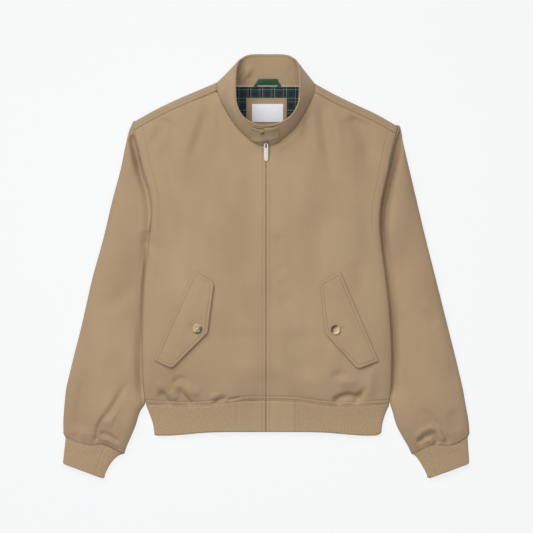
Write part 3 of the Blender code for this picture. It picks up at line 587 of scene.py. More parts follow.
def write_grid(
    node: str, grid: Array, bolt: Bolt, sheet: dict, keep: Array | None = None, closed: bool = False,
    flip: bool = False, **rest,
) -> bpy.types.Object:
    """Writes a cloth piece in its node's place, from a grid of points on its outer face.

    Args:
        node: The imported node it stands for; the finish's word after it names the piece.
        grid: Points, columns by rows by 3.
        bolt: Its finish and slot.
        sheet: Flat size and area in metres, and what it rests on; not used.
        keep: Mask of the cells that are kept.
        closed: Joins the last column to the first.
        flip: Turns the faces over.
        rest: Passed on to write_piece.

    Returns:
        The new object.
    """
    quads = grid_quads(*grid.shape[:2], closed)
    quads = quads.reshape(-1, 4) if keep is None else quads[keep]
    if flip:
        quads = quads[:, ::-1]
    used, quads = np.unique(quads, return_inverse=True)
    flat = grid_lengths(grid).reshape(-1, 2)[used]
    name, points = f"{node}_{bolt.word}", grid.reshape(-1, 3)[used]
    piece = write_piece(name, points, quads.reshape(-1, 4), bolt, node, flat=flat, **rest)
    return piece


def along_line(points: Array, spacing: float) -> tuple[Array, Array, Array]:
    """Evenly spaced places on a line of points.

    Args:
        points: The line, n by 3.
        spacing: Distance between places.

    Returns:
        The places' lengths along the line, the places, and the unit directions of the line there.
    """
    keys, reach = lengths(points), 0.3
    at = np.arange(spacing / 2, keys[-1], spacing)
    run = read_at(at + reach, keys, points) - read_at(at - reach, keys, points)
    return at, read_at(at, keys, points), unit(run)


@dataclass
class Sewing:
    """Rows of stitches, gathered while the pieces are built and written as one mesh for each thread."""

    length: float = 2.5
    pitch: float = 3.1
    radius: float = 0.32
    rise: float = 0.12
    rows: list[tuple[Array, Array]] = field(default_factory=list)

    def sew(self, line: Array, up: Array | Sequence[float] = (0, 0, 1)) -> None:
        """Adds a row of stitches along a line.

        Args:
            line: Points on the cloth, n by 3.
            up: The cloth's outward direction, one for the row or one for each point.
        """
        at, place, run = along_line(line, self.pitch)
        up = np.asarray(up, float)
        if up.ndim == 2:
            up = read_at(at, lengths(line), up)
        side = unit(np.cross(up, run))
        out = np.cross(run, side)
        self.rows.append((place + out * self.rise, np.stack([run, side, out], axis=1)))

    def capsule(self) -> tuple[Array, Array]:
        """One stitch along X: three six-sided rings between two points, r = radius * sqrt(1 - (x/l)^4).

        Returns:
            Its points and its faces, with triangles given as quads that repeat a corner.
        """
        stations = np.array([-0.82, 0.0, 0.82])
        turn = np.exp(1j * np.arange(6) * math.pi / 3)
        ring = ((self.radius * np.sqrt(1 - stations**4))[:, None] * turn).ravel()
        tips = np.array([[-self.length / 2, 0, 0], [self.length / 2, 0, 0]])
        body = np.stack([np.repeat(stations * self.length / 2, 6), ring.real, ring.imag], axis=1)
        faces = []
        for k in range(6):
            after = (k + 1) % 6
            faces += [(k, after, 6 + after, 6 + k), (6 + k, 6 + after, 12 + after, 12 + k)]
            faces += [(18, after, k, k), (12 + k, 12 + after, 19, 19)]
        return np.concatenate([body, tips]), np.array(faces)

    def write(self, name: str, bolt: Bolt) -> None:
        """Writes every gathered stitch as one mesh of a thread."""
        points, faces = self.capsule()
        places, frames = (np.concatenate(part) for part in zip(*self.rows))
        every = places[:, None, :] + np.einsum("pk,nkj->npj", points, frames)
        numbers = faces[None] + (np.arange(len(places)) * len(points))[:, None, None]
        quads = [list(dict.fromkeys(face)) for face in numbers.reshape(-1, 4).tolist()]
        self.rows.clear()
        write_piece(name, every.reshape(-1, 3), quads, bolt)


# --- form


@dataclass(frozen=True)
class Form:
    """The jacket's cut as it lies: outlines seen from above and the height of the front over them."""

    cloth: float = 1.6
    rib_wall: float = 2.2
    seam_gap: float = 0.15
    # Columns: y, half width to the wearer's right, half width to the left.
    body_edge: Curve = Curve((
        (-316, 206, 213), (-290, 210, 216), (-272, 216.5, 221.5), (-256, 222, 228), (-240, 225, 230),
        (-176, 228.5, 232.7), (-109, 228.5, 230.5), (-28, 225, 223), (39, 217, 214), (72, 213.7, 211),
        (111, 212, 212.3), (145, 217, 218.5), (170, 225, 224.2), (220, 236.8, 234), (262, 246, 246),
    ))
    # Columns: distance from the centre, y on the right, y on the left.
    shoulder_fold: Curve = Curve((
        (88, 341, 339), (124, 325.5, 319), (161, 309.8, 301), (204, 289.3, 281), (246, 266, 257),
    ))
    # Columns: distance from the centre, y.
    neckline: Curve = Curve((
        (1.2, 221), (10, 222), (23, 227.5), (37, 239), (56, 258), (72, 283), (83, 303), (90.5, 322),
    ))
    hem_seam: Curve = Curve(((0, -249), (45, -250), (80, -254), (100, -257), (230, -256)))
    hem_end: Curve = Curve(((0, -307), (110, -308), (210, -313.8), (218, -313.5), (223, -312), (229, -307.5)))
    # Columns: y, height of the front's middle.
    crown: Curve = Curve((
        (-316, 12), (-285, 15), (-256, 20.5), (-236, 25.5), (-205, 31), (-120, 36), (0, 37), (150, 38),
        (260, 38),
    ))
    crown_power: Pair = (3.2, 2.7)
    # Columns: y, height at which the front's side edge ends.
    side_rim: Curve = Curve((
        (-316, 6.5), (-262, 7), (-238, 10.5), (-215, 14.2), (-200, 15.6), (-20, 15.6), (20, 16.5), (60, 19.5),
        (105, 23), (262, 23),
    ))
    fold_power: float = 2.2
    edge_rise: float = 9.0
    shoulder_wrap: float = 16.0
    fold_bend: float = 8.0
    fold_slope: float = 80.0
    neck_half: float = 90.5
    back_neck_y: float = 333.0
    hem_half: float = 222.0
    zip_edge: float = 0.45
    side_wrap: float = 14.0
    side_bend: float = 8.0
    side_gap: float = -1.0
    underarm: float = 0.62
    tuck_top: float = -14.0
    tuck_end: float = -218.0
    tuck_run: float = 26.0
    tuck_late: float = 14.0
    tuck_depth: float = 15.0
    tuck_lift: float = 8.6
    tuck_margin: float = 5.0
    tuck_ramp: float = 16.0
    tuck_sleeve: float = 8.0

    def half(self, side: Side, y: Array | float) -> Array:
        """Half width of the body at y."""
        return self.body_edge.at(y, side.column)

    def fold_y(self, side: Side, half: Array | float) -> Array:
        """y of the shoulder's top fold at a distance from the centre."""
        return self.shoulder_fold.at(half, side.column)

    def tuck(self, y: Array) -> Array:
        """1 where the sleeve lies under the body's side, with a smooth run in and out."""
        top = smooth((self.tuck_top - self.tuck_late - y) / self.tuck_run + 1)
        return top * smooth((y - self.tuck_end - self.tuck_late) / self.tuck_run + 1)

    def sleeve_under(self, y: Array) -> Array:
        """How far the sleeve's inner fold lies inside the body's edge: a squared sine over its run."""
        run = np.clip((self.tuck_top - y) / (self.tuck_top - self.tuck_end), 0, 1)
        return (self.tuck_depth + self.side_gap) * np.sin(math.pi * run) ** 2 - self.side_gap

    def lift(self, side: Side, half: Array, y: Array) -> Array:
        """Height of the back panel's underside over the floor."""
        inside = self.half(side, y) - half - self.sleeve_under(y) - self.tuck_margin
        return self.tuck_lift * self.tuck(y) * (1 - smooth(inside / self.tuck_ramp))

    def rim(self, y: Array) -> Array:
        """Height at which the front's side edge ends."""
        return self.side_rim.at(y)

    def height(self, side: Side, half: Array, y: Array) -> Array:
        """Height of the plain front: (1 - s^p)^(1/p) from the middle to the rim, then down to the shoulder.

        Args:
            side: The wearer's side.
            half: Distances from the centre.
            y: Places along the body.

        Returns:
            Heights of the front's outer face, without its folds.
        """
        share = np.clip(half / self.half(side, y), 0, 1)
        power = self.crown_power[side.column - 1]
        crown = (1 - share**power) ** (1 / power)
        rim = self.rim(y)
        height = rim + (self.crown.at(y) - rim) * crown
        down = np.clip((self.fold_y(side, half) - y) / self.fold_slope, 0, 1)
        rise = (1 - (1 - down) ** self.fold_power) ** (1 / self.fold_power)
        return self.fold_bend + (height - self.fold_bend) * rise

    def tip(self, side: Side) -> float:
        """Half width where the forward shoulder seam meets the armhole seam, by repeated reading."""
        half = 243.0
        for _ in range(6):
            half = float(self.half(side, self.fold_y(side, half) - self.shoulder_wrap))
        return half

    def front_top(self, side: Side, half: Array) -> Array:
        """Upper boundary of a front: the neckline, then the forward shoulder seam."""
        seam = self.fold_y(side, half) - self.shoulder_wrap
        return np.where(half <= self.neck_half, self.neckline.at(half), seam)

    def underarm_y(self, side: Side) -> float:
        """y of the underarm, where the side seam meets the armhole."""
        hem = float(self.hem_seam.at(self.hem_half))
        return hem + self.underarm * (float(self.front_top(side, np.array(self.tip(side)))) - hem)


def stack_side(side: Side, half: Array, y: Array, z: Array) -> Array:
    """Points from distances from the centre, y and z, on one side."""
    half, y, z = np.broadcast_arrays(half, y, z)
    return np.stack([side.value * half, y, z], axis=-1)


@dataclass
class Cloth:
    """What every cloth piece shares: the form, the finishes and the sewing."""

    form: Form
    wardrobe: Wardrobe
    sewing: Sewing


# --- body


SHARED_FOLDS: tuple[Fold, ...] = (
    Fold(((-4, 215), (-2, -60)), 1.5, 28, (0.2, 0.2)),
    Fold(((8, -60), (12, -215)), 2.6, 42, (0.4, 0.15)),
)
BODY_FOLDS: dict[Side, tuple[Fold, ...]] = {
    Side.RIGHT: (
        Fold(((-58, 190), (-62, 40), (-92, -150)), 4.3, 40, (0.3, 0.25)),
        Fold(((-152, 130), (-168, -70)), -2.9, 26),
        Fold(((-104, 300), (-120, 240), (-146, 172)), -4.4, 12, (0.15, 0.5)),
        Fold(((-122, 296), (-142, 230), (-160, 180)), 2.3, 10, (0.2, 0.5)),
        Fold(((-88, 296), (-85, 236)), -3.2, 7, (0.1, 0.5)),
        Fold(((-8, 224), (-24, 234), (-44, 250)), -3.2, 4.5, (0.1, 0.5), 0.5),
        Fold(((-12, 216), (-30, 226), (-52, 246)), 2.2, 6, (0.1, 0.5)),
        Fold(((-206, 280), (-180, 264), (-152, 246)), -5.8, 6, (0.3, 0.4), 0.3),
        Fold(((-188, 262), (-214, 218)), -5.4, 8, (0.3, 0.4)),
        Fold(((-196, 236), (-164, 130)), -4.4, 14),
        Fold(((-92, 215), (-112, 120), (-96, 10)), 3.4, 20),
        Fold(((-38, -110), (-44, -190)), -3.0, 22, (0.3, 0.3)),
        Fold(((-216, 44), (-180, 20)), -2.9, 12, (0.0, 0.6)),
        Fold(((-198, -230), (-189, -238), (-180, -250)), -7.0, 6.5, (0.35, 0.0), 0.35),
        Fold(((-208, -222), (-196, -220), (-184, -228)), 2.3, 7),
        Fold(((-171, -222), (-166, -211), (-156, -208), (-142, -213)), -4.4, 4.0, (0.2, 0.5), 0.0),
        Fold(((-164, -222), (-154, -236), (-141, -251)), -8.3, 4.2, (0.35, 0.0), 0.35),
        Fold(((-154, -219), (-138, -232), (-120, -240)), 4.3, 9),
        Fold(((-176, -230), (-166, -246)), 2.9, 6, (0.3, 0.1)),
        Fold(((-78, -236), (-80, -245), (-92, -252)), -6.2, 4.5, (0.35, 0.0), 0.0),
        Fold(((-100, -236), (-92, -246)), 2.6, 6),
        Fold(((-73, -248), (-44, -243)), -3.2, 2.5, (0.2, 0.4)),
    ),
    Side.LEFT: (
        Fold(((101, 306), (113, 230), (125, 140)), -4.6, 11, (0.12, 0.5)),
        Fold(((120, 300), (134, 230), (146, 170)), 2.2, 10, (0.15, 0.5)),
        Fold(((76, 280), (72, 222)), -3.8, 7, (0.12, 0.5)),
        Fold(((6, 226), (30, 236), (58, 262)), -3.4, 4.5, (0.1, 0.5), 0.5),
        Fold(((10, 218), (36, 226), (64, 250)), 2.4, 6, (0.1, 0.5)),
        Fold(((86, 286), (92, 236), (96, 190)), 1.9, 7, (0.15, 0.5)),
        Fold(((158, 284), (184, 232), (202, 176)), -8.2, 21, (0.15, 0.4)),
        Fold(((60, -110), (70, -215)), -4.2, 30, (0.3, 0.3)),
        Fold(((62, 200), (76, 60)), 2.6, 24),
        Fold(((150, 150), (156, 20)), 2.6, 28),
        Fold(((18, 58), (34, 36)), -1.5, 10, (0.4, 0.4)),
        Fold(((18, 2), (36, -18)), -1.5, 10, (0.4, 0.4)),
        Fold(((22, -26), (42, -42)), -1.3, 10, (0.4, 0.4)),
        Fold(((22, -57), (44, -73)), -1.6, 11, (0.4, 0.4)),
        Fold(((165, 20), (180, -60)), -2.6, 14),
        Fold(((120, -130), (128, -215)), 2.3, 16),
        Fold(((98, -140), (86, -215)), -2.0, 16),
        Fold(((124, -252), (134, -243), (150, -237), (168, -241), (182, -229)), -8.6, 7.0, (0.1, 0.3), 0.4),
        Fold(((130, -218), (150, -213), (170, -220)), 4.1, 8),
        Fold(((118, -206), (136, -199), (150, -203)), -2.9, 4, (0.3, 0.4)),
        Fold(((188, -222), (178, -236), (168, -250)), -4.6, 4.5, (0.4, 0.0), 0.3),
        Fold(((197, -180), (192, -246)), 2.6, 8),
    ),
}


def body_surface(form: Form, side: Side, half: Array, y: Array) -> Array:
    """Height of a front at rest: the form's, with its folds and a soft rumple that calms at the edges."""
    x = side.value * half
    z = form.height(side, half, y) + total_lift(SHARED_FOLDS + BODY_FOLDS[side], x, y)
    calm = smooth((half - 6) / 22) * smooth((form.half(side, y) - half) / 30)
    return z + rumple(x, y, 11 + side.column, 0.8) * calm


@dataclass
class Front(Cloth):
    """One front of the body, from the zip to the seam under the side, with its rows of topstitching."""

    side: Side = Side.RIGHT
    zip_stitch: float = 7.0
    hem_stitches: tuple[float, ...] = (2.6, 8.4)
    arm_stitch: float = 15.0
    roll: float = 0.8

    def columns(self) -> Array:
        """Places of the grid's columns on the upper boundary, closer by the zip and the armhole."""
        tip = self.form.tip(self.side)
        by_arm = ((tip - 22, 2.0), (tip - 17.5, 1.0), (tip - 12.5, 2.0), (tip - 4, 0.8), (tip, 1))
        return spaced(((self.form.zip_edge, 0.8), (9.2, 2.2), (18, 4.0), (self.form.neck_half, 4.2), *by_arm))

    def rows(self) -> Array:
        """Shares of the grid's rows from hem to top, closer at both ends; one is the underarm's."""
        low = ((0, 0.0018), (0.02, 0.004), (0.05, 0.0085), (self.form.underarm, 0.0085))
        return spaced((*low, (0.965, 0.004), (0.985, 0.0018), (1, 1)))

    def points(self, tops: Array, rows: Array) -> Array:
        """Points of the front's outer face.

        A column runs from the hem to its place on the upper boundary and keeps its share of the half width,
        so it bends with the body's edge. Its height is the form's, with folds, rumple, stitched grooves
        and the roll of its edges into the seams.

        Args:
            tops: Places of columns on the upper boundary, in distances from the centre.
            rows: Shares of the way from the hem to the top.

        Returns:
            Points, columns by rows by 3.
        """
        form, side = self.form, self.side
        top_y = form.front_top(side, tops)
        share = (tops - form.zip_edge) / (form.half(side, top_y) - form.zip_edge)
        hem = form.hem_seam.at(share * form.hem_half)
        y = hem[:, None] + (top_y - hem)[:, None] * rows[None, :]
        half = form.zip_edge + share[:, None] * (form.half(side, y) - form.zip_edge)
        from_hem, from_top = y - hem[:, None], top_y[:, None] - y
        calm = smooth(from_hem / 5 + 0.25) * smooth(from_top / 16) * smooth((form.half(side, y) - half) / 4)
        z = lerp(form.height(side, half, y), body_surface(form, side, half, y), calm)
        return stack_side(side, half, y, z - self.grooves(half, y, from_hem, from_top))

    def grooves(self, half: Array, y: Array, from_hem: Array, from_top: Array) -> Array:
        """Depth of the stitched grooves, a bell about each row, and of the edges' roll into the seams.

        Args:
            half: Distances from the centre.
            y: Places along the body.
            from_hem: Distances from the hem seam.
            from_top: Distances from the upper boundary.

        Returns:
            Depth at each point.
        """
        form = self.form
        away = form.half(self.side, y) - half
        above = smooth((y - form.underarm_y(self.side)) / 12)
        depth = 0.16 * bell(half - self.zip_stitch, 0.9) + 0.2 * above * bell(away - self.arm_stitch, 1.4)
        depth = depth + sum(0.85 * bell(from_hem - stitch, 1.3) for stitch in self.hem_stitches)
        edges = fade(from_hem, 1.6) + above * fade(away, 1.6) + 0.6 * fade(from_top, 1.8)
        return depth + self.roll * edges + 0.3 * fade(half - form.zip_edge, 0.7)

    def wrap(self, y: Array) -> Array:
        """Columns from the widest edge round a quarter circle to the seam under the side.

        Args:
            y: Places of the widest edge's points.

        Returns:
            Points, columns by rows by 3.
        """
        form, side = self.form, self.side
        half, rim = form.half(side, y), form.rim(y)
        floor = form.lift(side, half, y)
        columns = []
        for angle in QUARTER:
            inward = form.side_bend * (1 - math.cos(angle))
            columns.append(stack_side(side, half - inward, y, rim + (floor - rim) * math.sin(angle)))
        for share in (0.5, 1.0):
            under = half - lerp(form.side_bend, form.side_wrap, share)
            columns.append(stack_side(side, under, y, form.lift(side, under, y)))
        return np.stack(columns)

    def build(self) -> None:
        """Builds the panel and sews its rows."""
        form, side = self.form, self.side
        tops, rows = self.columns(), self.rows()
        grid = self.points(tops, rows)
        grid = np.concatenate([grid, self.wrap(grid[-1, :, 1])])
        low, neck, last = nearest(rows, form.underarm), nearest(tops, form.neck_half), len(tops)
        steep = smooth((150 - np.abs(grid[neck:, -1, 0])) / 40)
        grid[neck:, -1, 1] -= form.seam_gap + 0.2 + 0.5 * steep
        grid[last:, low, 1] -= 2 * form.seam_gap
        keep = np.ones((len(grid) - 1, len(rows) - 1), bool)
        keep[last - 1 :, low:] = False
        self.sew(tops, rows)
        sheet = {"flat": (0.25, 0.59), "rests_on": ["back_panel_cloth"], "area": 0.137}
        turned = side is Side.RIGHT
        write_grid(f"front_{side.word}", grid, self.wardrobe.twill, sheet, keep, flip=turned, wall=form.cloth)

    def sew(self, tops: Array, rows: Array) -> None:
        """Topstitches the zip's edge, the hem and the armhole."""
        form, middle = self.form, 60.0
        self.sewing.sew(self.points(np.array([self.zip_stitch]), rows[2:-2])[0])
        for stitch in self.hem_stitches:
            length = float(form.front_top(self.side, np.array(middle)) - form.hem_seam.at(middle))
            self.sewing.sew(self.points(tops[1:-1], np.array([stitch / length]))[:, 0])
        beside = np.array([form.tip(self.side) - self.arm_stitch * 1.02])
        above = rows[rows > form.underarm + 0.004]
        self.sewing.sew(self.points(beside, above[:-2])[0])


@dataclass
class Back(Cloth):
    """The back panel: flat on the floor, over the shoulder folds to the forward shoulder seams."""

    wrap_stitches: tuple[float, ...] = (1.6, 7.4)
    wrap_rows: tuple[float, ...] = tuple(spaced(((0.8, 0.8), (16.0, 1))))  # from the fold to the seam
    arm_rows: tuple[float, ...] = tuple(np.linspace(0.97, 0.06, 34))
    side_rows: int = 52

    def wrap(self, side: Side, half: float, at_edge: bool) -> Array:
        """Points over the shoulder: a quarter circle up from the floor, then the top to the seam.

        Args:
            side: The wearer's side.
            half: Distance from the centre.
            at_edge: Whether the column follows the armhole.

        Returns:
            Points of the column's part over the fold.
        """
        form, depths = self.form, np.array(self.wrap_rows)
        fold = float(form.fold_y(side, half))
        high_y = fold - depths
        y = np.concatenate([fold - form.fold_bend + form.fold_bend * np.sin(QUARTER), high_y])
        halves = form.half(side, y) if at_edge else np.full(len(y), half)
        from_seam = form.shoulder_wrap - depths
        high_z = form.height(side, halves[len(QUARTER) :], high_y) - fade(from_seam, 1.5)
        high_z = high_z - sum(0.5 * bell(from_seam - stitch, 1.2) for stitch in self.wrap_stitches)
        low_z = form.fold_bend * (1 - np.cos(QUARTER))
        return stack_side(side, halves, y, np.concatenate([low_z, high_z]))

    def half_grid(self, side: Side) -> tuple[Array, Array, int]:
        """Half of the panel from the centre outwards.

        Args:
            side: The wearer's side.

        Returns:
            The grid, the mask of its cells and the row where the floor part ends.
        """
        form = self.form
        tip, seam, neck = form.tip(side), form.side_wrap + form.seam_gap, form.neck_half + 0.5
        strip_top = float(form.half(side, form.fold_y(side, tip) - form.fold_bend)) - seam
        inner = spaced(((0, 6.0), (neck, 1)))
        tops = np.concatenate([inner, spaced(((neck, 5.5), (strip_top, 2.4), (tip, 1)))[1:]])
        strip = nearest(tops, strip_top)
        hem, under = float(form.hem_seam.at(form.hem_half)), form.underarm_y(side)
        low = np.linspace(hem, under, self.side_rows)
        columns = []
        for k, top in enumerate(tops):
            fold_end = float(form.fold_y(side, top)) - form.fold_bend
            fold_end = form.back_neck_y if top < form.neck_half else fold_end
            high = under + (fold_end - under) * (1 - np.array(self.arm_rows))
            y = np.concatenate([low, high, [fold_end]])
            limit = form.half(side, y) - seam
            inside = np.clip((top - strip_top) / (tip - strip_top), 0, 1)
            half = np.where(k <= strip, top * limit / limit[-1], limit + seam * inside)
            calm = smooth((y - hem) / 30) * smooth((fold_end - y) / 40) * smooth((limit - half) / 20)
            crease = np.maximum(rumple(side.value * half, y, 31, 0.5), 0) * calm
            flat = stack_side(side, half, y, form.lift(side, half, y) + crease)
            columns.append(np.concatenate([flat, self.wrap(side, max(float(top), neck), k == len(tops) - 1)]))
        grid = np.stack(columns)
        flat_end = len(low) + len(self.arm_rows)
        keep = np.ones((len(grid) - 1, grid.shape[1] - 1), bool)
        keep[strip:, : len(low) - 1] = False
        keep[: len(inner) - 1, flat_end:] = False
        return grid, keep, flat_end

    def build(self) -> dict[Side, tuple[Array, int]]:
        """Builds the panel and sews the forward shoulder seams.

        Returns:
            Each side's grid and the row where its floor part ends.
        """
        form, halves = self.form, {side: self.half_grid(side) for side in Side}
        whole = np.concatenate([halves[Side.RIGHT][0][::-1], halves[Side.LEFT][0][1:]])
        keep = np.concatenate([halves[Side.RIGHT][1][::-1], halves[Side.LEFT][1]])
        sheet = {"flat": (0.5, 0.62), "area": 0.262}
        write_grid("back_panel", whole, self.wardrobe.twill, sheet, keep, flip=True, wall=form.cloth)
        for side in Side:
            line = np.linspace(form.neck_half + 2, form.tip(side) - 2, 120)
            for stitch in self.wrap_stitches:
                y = form.fold_y(side, line) - form.shoulder_wrap + stitch
                self.sewing.sew(stack_side(side, line, y, form.height(side, line, y) - 0.5))
        return {side: (halves[side][0], halves[side][2]) for side in Side}


# --- sleeves


SLEEVE_FOLDS: dict[Side, tuple[Fold, ...]] = {
    Side.RIGHT: (
        Fold(((-250, -210), (-267, -235), (-285, -268), (-303, -287)), -5.5, 6.0, (0.5, 0.25), 0.35),
        Fold(((-292, -274), (-304, -287), (-310, -301), (-313, -319)), -5.5, 3.4, (0.3, 0.0), 0.4),
        Fold(((-268, -222), (-288, -252), (-306, -276), (-318, -300)), 2.2, 8, (0.4, 0.2)),
        Fold(((-262, -244), (-280, -276), (-300, -298)), 2.6, 8, (0.3, 0.2)),
        Fold(((-309, -311), (-300, -308.5), (-288, -313), (-268, -327)), -3.6, 3.6, (0.1, 0.3), 0.3),
        Fold(((-306, -321), (-291, -322), (-271, -336)), 2.4, 4.5, (0.2, 0.3)),
        Fold(((-348, -310), (-334, -180)), -6.5, 18, (0.15, 0.45), 0.35),
        Fold(((-261, -240), (-285, -302)), -0.9, 2.0, (0.2, 0.1)),
        Fold(((-249, 246), (-238, 205), (-229, 168)), -9.0, 6.5, (0.15, 0.4), 0.2),
        Fold(((-262, 220), (-252, 150)), 2.2, 14),
        Fold(((-220, 66), (-224, 34)), -3.2, 10, (0.3, 0.3)),
        Fold(((-234, -30), (-270, -58), (-312, -86)), -2.4, 15),
        Fold(((-240, -64), (-286, -104)), 1.6, 15),
        Fold(((-262, 40), (-288, -40)), 1.4, 20),
        Fold(((-340, -298), (-350, -314)), -2.0, 6, (0.4, 0.0)),
    ),
    Side.LEFT: (
        Fold(((277, -265), (299, -271), (309, -284), (324, -298), (336, -321)), -3.4, 6.0, (0.35, 0.0), 0.3),
        Fold(((272, -322), (288, -306), (306, -298), (318, -301), (327, -318)), 3.6, 5.0, (0.25, 0.0)),
        Fold(((276, -329), (294, -315), (310, -310), (317, -324)), -4.2, 4.6, (0.2, 0.0), 0.3),
        Fold(((290, -326), (304, -322), (310, -328)), 1.8, 4, (0.3, 0.1)),
        Fold(((340, -262), (352, -306)), -2.2, 11, (0.4, 0.2)),
        Fold(((237, -159), (270, -237), (286, -308)), -0.9, 2.0, (0.2, 0.1)),
        Fold(((247, 244), (238, 200), (228, 165), (218, 120), (216, 70)), -14.0, 8.5, (0.1, 0.35), -0.1),
        Fold(((216, 110), (214, 60), (218, 10)), -10.0, 9, (0.3, 0.4)),
        Fold(((266, 200), (250, 60)), 2.0, 16),
        Fold(((290, -80), (318, -112)), -1.8, 16),
        Fold(((262, 0), (286, -60)), 1.4, 18),
        Fold(((338, -180), (352, -228)), -1.4, 14),
    ),
}


@dataclass
class Sleeve(Cloth):
    """One sleeve, a flattened tube from the armhole to the cuff seam."""

    side: Side = Side.RIGHT
    # Columns: y, distance from the centre on the right and on the left.
    outer: Curve = Curve((
        (266, 246, 246), (248, 253.5, 249), (226, 259, 254), (181, 268.3, 264.6), (126, 283, 277.5),
        (48, 301.6, 296), (-18, 320, 312.7), (-107, 340.4, 335), (-196, 362.6, 357), (-229, 370, 364.5),
        (-252, 372.5, 368.5), (-302, 375, 376), (-311, 374.5, 376), (-317, 371, 373),
    ))
    inner: Curve = Curve((
        (-246, 222.8, 228.6), (-256, 224.2, 229.8), (-266, 231, 233), (-295, 241.2, 241.5),
        (-318, 250.3, 253), (-338, 258.5, 264), (-345, 260.8, 267), (-349.5, 262, 269.5),
    ))
    crown: Curve = Curve(((0, 29), (0.3, 28), (0.75, 27), (0.9, 26), (0.96, 21), (1, 15)))
    power: float = 2.3
    length: float = 560.0
    # Columns: y, how deep the cloth dips beside the body on the right and on the left.
    dip: Curve = Curve((
        (262, 0, 0), (246, 5, 8), (225, 11, 13), (190, 13, 14), (150, 9, 14), (110, 4, 12), (60, 3, 11),
        (38, 5, 10), (15, 3, 9), (-8, 1.5, 7), (-40, 1.5, 8), (-75, 2, 9), (-130, 4, 9), (-195, 7, 8),
        (-232, 6, 7), (-262, 1, 3),
    ))
    dip_at: float = 5.5
    dip_width: float = 7.5
    step: Pair = (6.0, 5.0)  # its height beside the body above the part that slips under
    underarm_wall: float = 0.96
    # Columns: share across, how far the cuff seam rides up on the right and on the left.
    seam_wave: Curve = Curve((
        (0, 0, 0), (0.1, -1.5, -3.5), (0.2, -3, -6), (0.35, -2.2, -4.5), (0.5, 1.5, 1), (0.6, 6.5, 5),
        (0.68, 7.5, 6), (0.8, 5, 4), (0.92, 2, 1.5), (1, 2.2, 2),
    ))
    cuff_stitches: tuple[float, ...] = (2.6, 8.4)

    def loop(self) -> tuple[Array, Array, Array]:
        """Closed loop of the armhole: up the front's seam, over the shoulder, down the back, up the wall.

        Returns:
            Its points, their shares from the shoulder tip to the underarm, and whether each is on top.
        """
        form, side, bend = self.form, self.side, self.form.fold_bend
        under_y, tip_y = form.underarm_y(side), float(form.fold_y(side, form.tip(side)))
        turn = (1 - np.cos(np.linspace(0, math.pi, 84))) / 2
        over_y = lerp(under_y, tip_y, turn)
        over_z = form.height(side, form.half(side, over_y), over_y) - 1.3 * math.exp(-1.0)
        over = stack_side(side, form.half(side, over_y), over_y, over_z)
        back = (1 - np.cos(np.linspace(0, math.pi, 48)[1:-1])) / 2
        low_y = lerp(tip_y, under_y, back)
        drop = np.clip((low_y - (tip_y - bend)) / bend, 0, 1)
        low = stack_side(side, form.half(side, low_y), low_y, bend * (1 - np.sqrt(1 - drop**2)))
        rise = np.linspace(0, 1, 9)[:-1]
        wall = np.tile(over[:1], (len(rise), 1))
        wall[:, 2] *= rise
        share = np.concatenate([1 - turn, back * self.underarm_wall, lerp(self.underarm_wall, 1.0, rise)])
        return np.concatenate([over, low, wall]), share, np.arange(len(share)) < len(over)

    def inner_edge(self, y: float) -> float:
        """Distance of the inner fold from the centre: under the body's side, then down to the cuff."""
        hidden = self.form.half(self.side, y) - self.form.sleeve_under(y)
        return float(hidden if y > self.inner.rows[0][0] else self.inner.at(y, self.side.column))

    def rings(self, stations: Array) -> tuple[Array, Array, Array]:
        """Rings of the tube.

        A ring's plan is a Coons patch of the armhole, the straight cuff seam and the sleeve's two edges.
        Its height is a crown (1 - q^p)^(1/p) over a flat underside with round edges, with the folds.

        Args:
            stations: Shares of the way from the armhole to the cuff seam.

        Returns:
            The grid (loop by rings), the loop's shares and whether each of its points is on top.
        """
        form, side, column = self.form, self.side, self.side.column
        loop, share, top = self.loop()
        arm, w = loop[:, :2] * (side.value, 1), share[:, None]
        tip, under = arm[np.argmin(share)], arm[0]
        edge = smooth(np.minimum(share, 1 - share) / 0.10)
        rings = []
        for t in stations:
            outer_y = lerp(tip[1], self.outer.rows[-1][0], t)
            inner_y = lerp(under[1], self.inner.rows[-1][0], t)
            outer = np.array([float(self.outer.at(outer_y, column)), outer_y])
            inner = np.array([self.inner_edge(inner_y), inner_y])
            half, y = (lerp(outer, inner, w) + (1 - t) * (arm - lerp(tip, under, w))).T
            y = y + self.seam_wave.at(share, column) * smooth((t - 0.86) / 0.14)
            half = half + form.seam_gap * (1 - t) + 0.4 * smooth(t / 0.01) * (1 - smooth(t / 0.1))
            x, beside = side.value * half, half - form.half(side, y)
            z = lerp(loop[:, 2], self.heights(beside, y, share, top, t), smooth(t / 0.16))
            dip = self.dip.at(y, column) * bell(beside - self.dip_at, self.dip_width)
            z = z - top * dip * smooth(beside / self.dip_at)
            inside = smooth(t / 0.012) * smooth((1 - t) / 0.006 + 0.3)
            lift = (total_lift(SLEEVE_FOLDS[side], x, y) + rumple(x, y, 51 + column, 0.8)) * inside
            z = np.where(top, np.maximum(z + lift * (0.25 + 0.75 * edge), 3.4), z)
            z = z + ~top * np.maximum(rumple(x, y, 71, 0.6), 0) * inside * edge
            left = (1 - t) * self.length
            groove = sum(0.6 * bell(left - stitch, 1.4) for stitch in self.cuff_stitches)
            groove = groove + 1.2 * fade(left, 1.8)
            rings.append(stack_side(side, half, y, z - top * groove))
        return np.stack(rings, axis=1), share, top

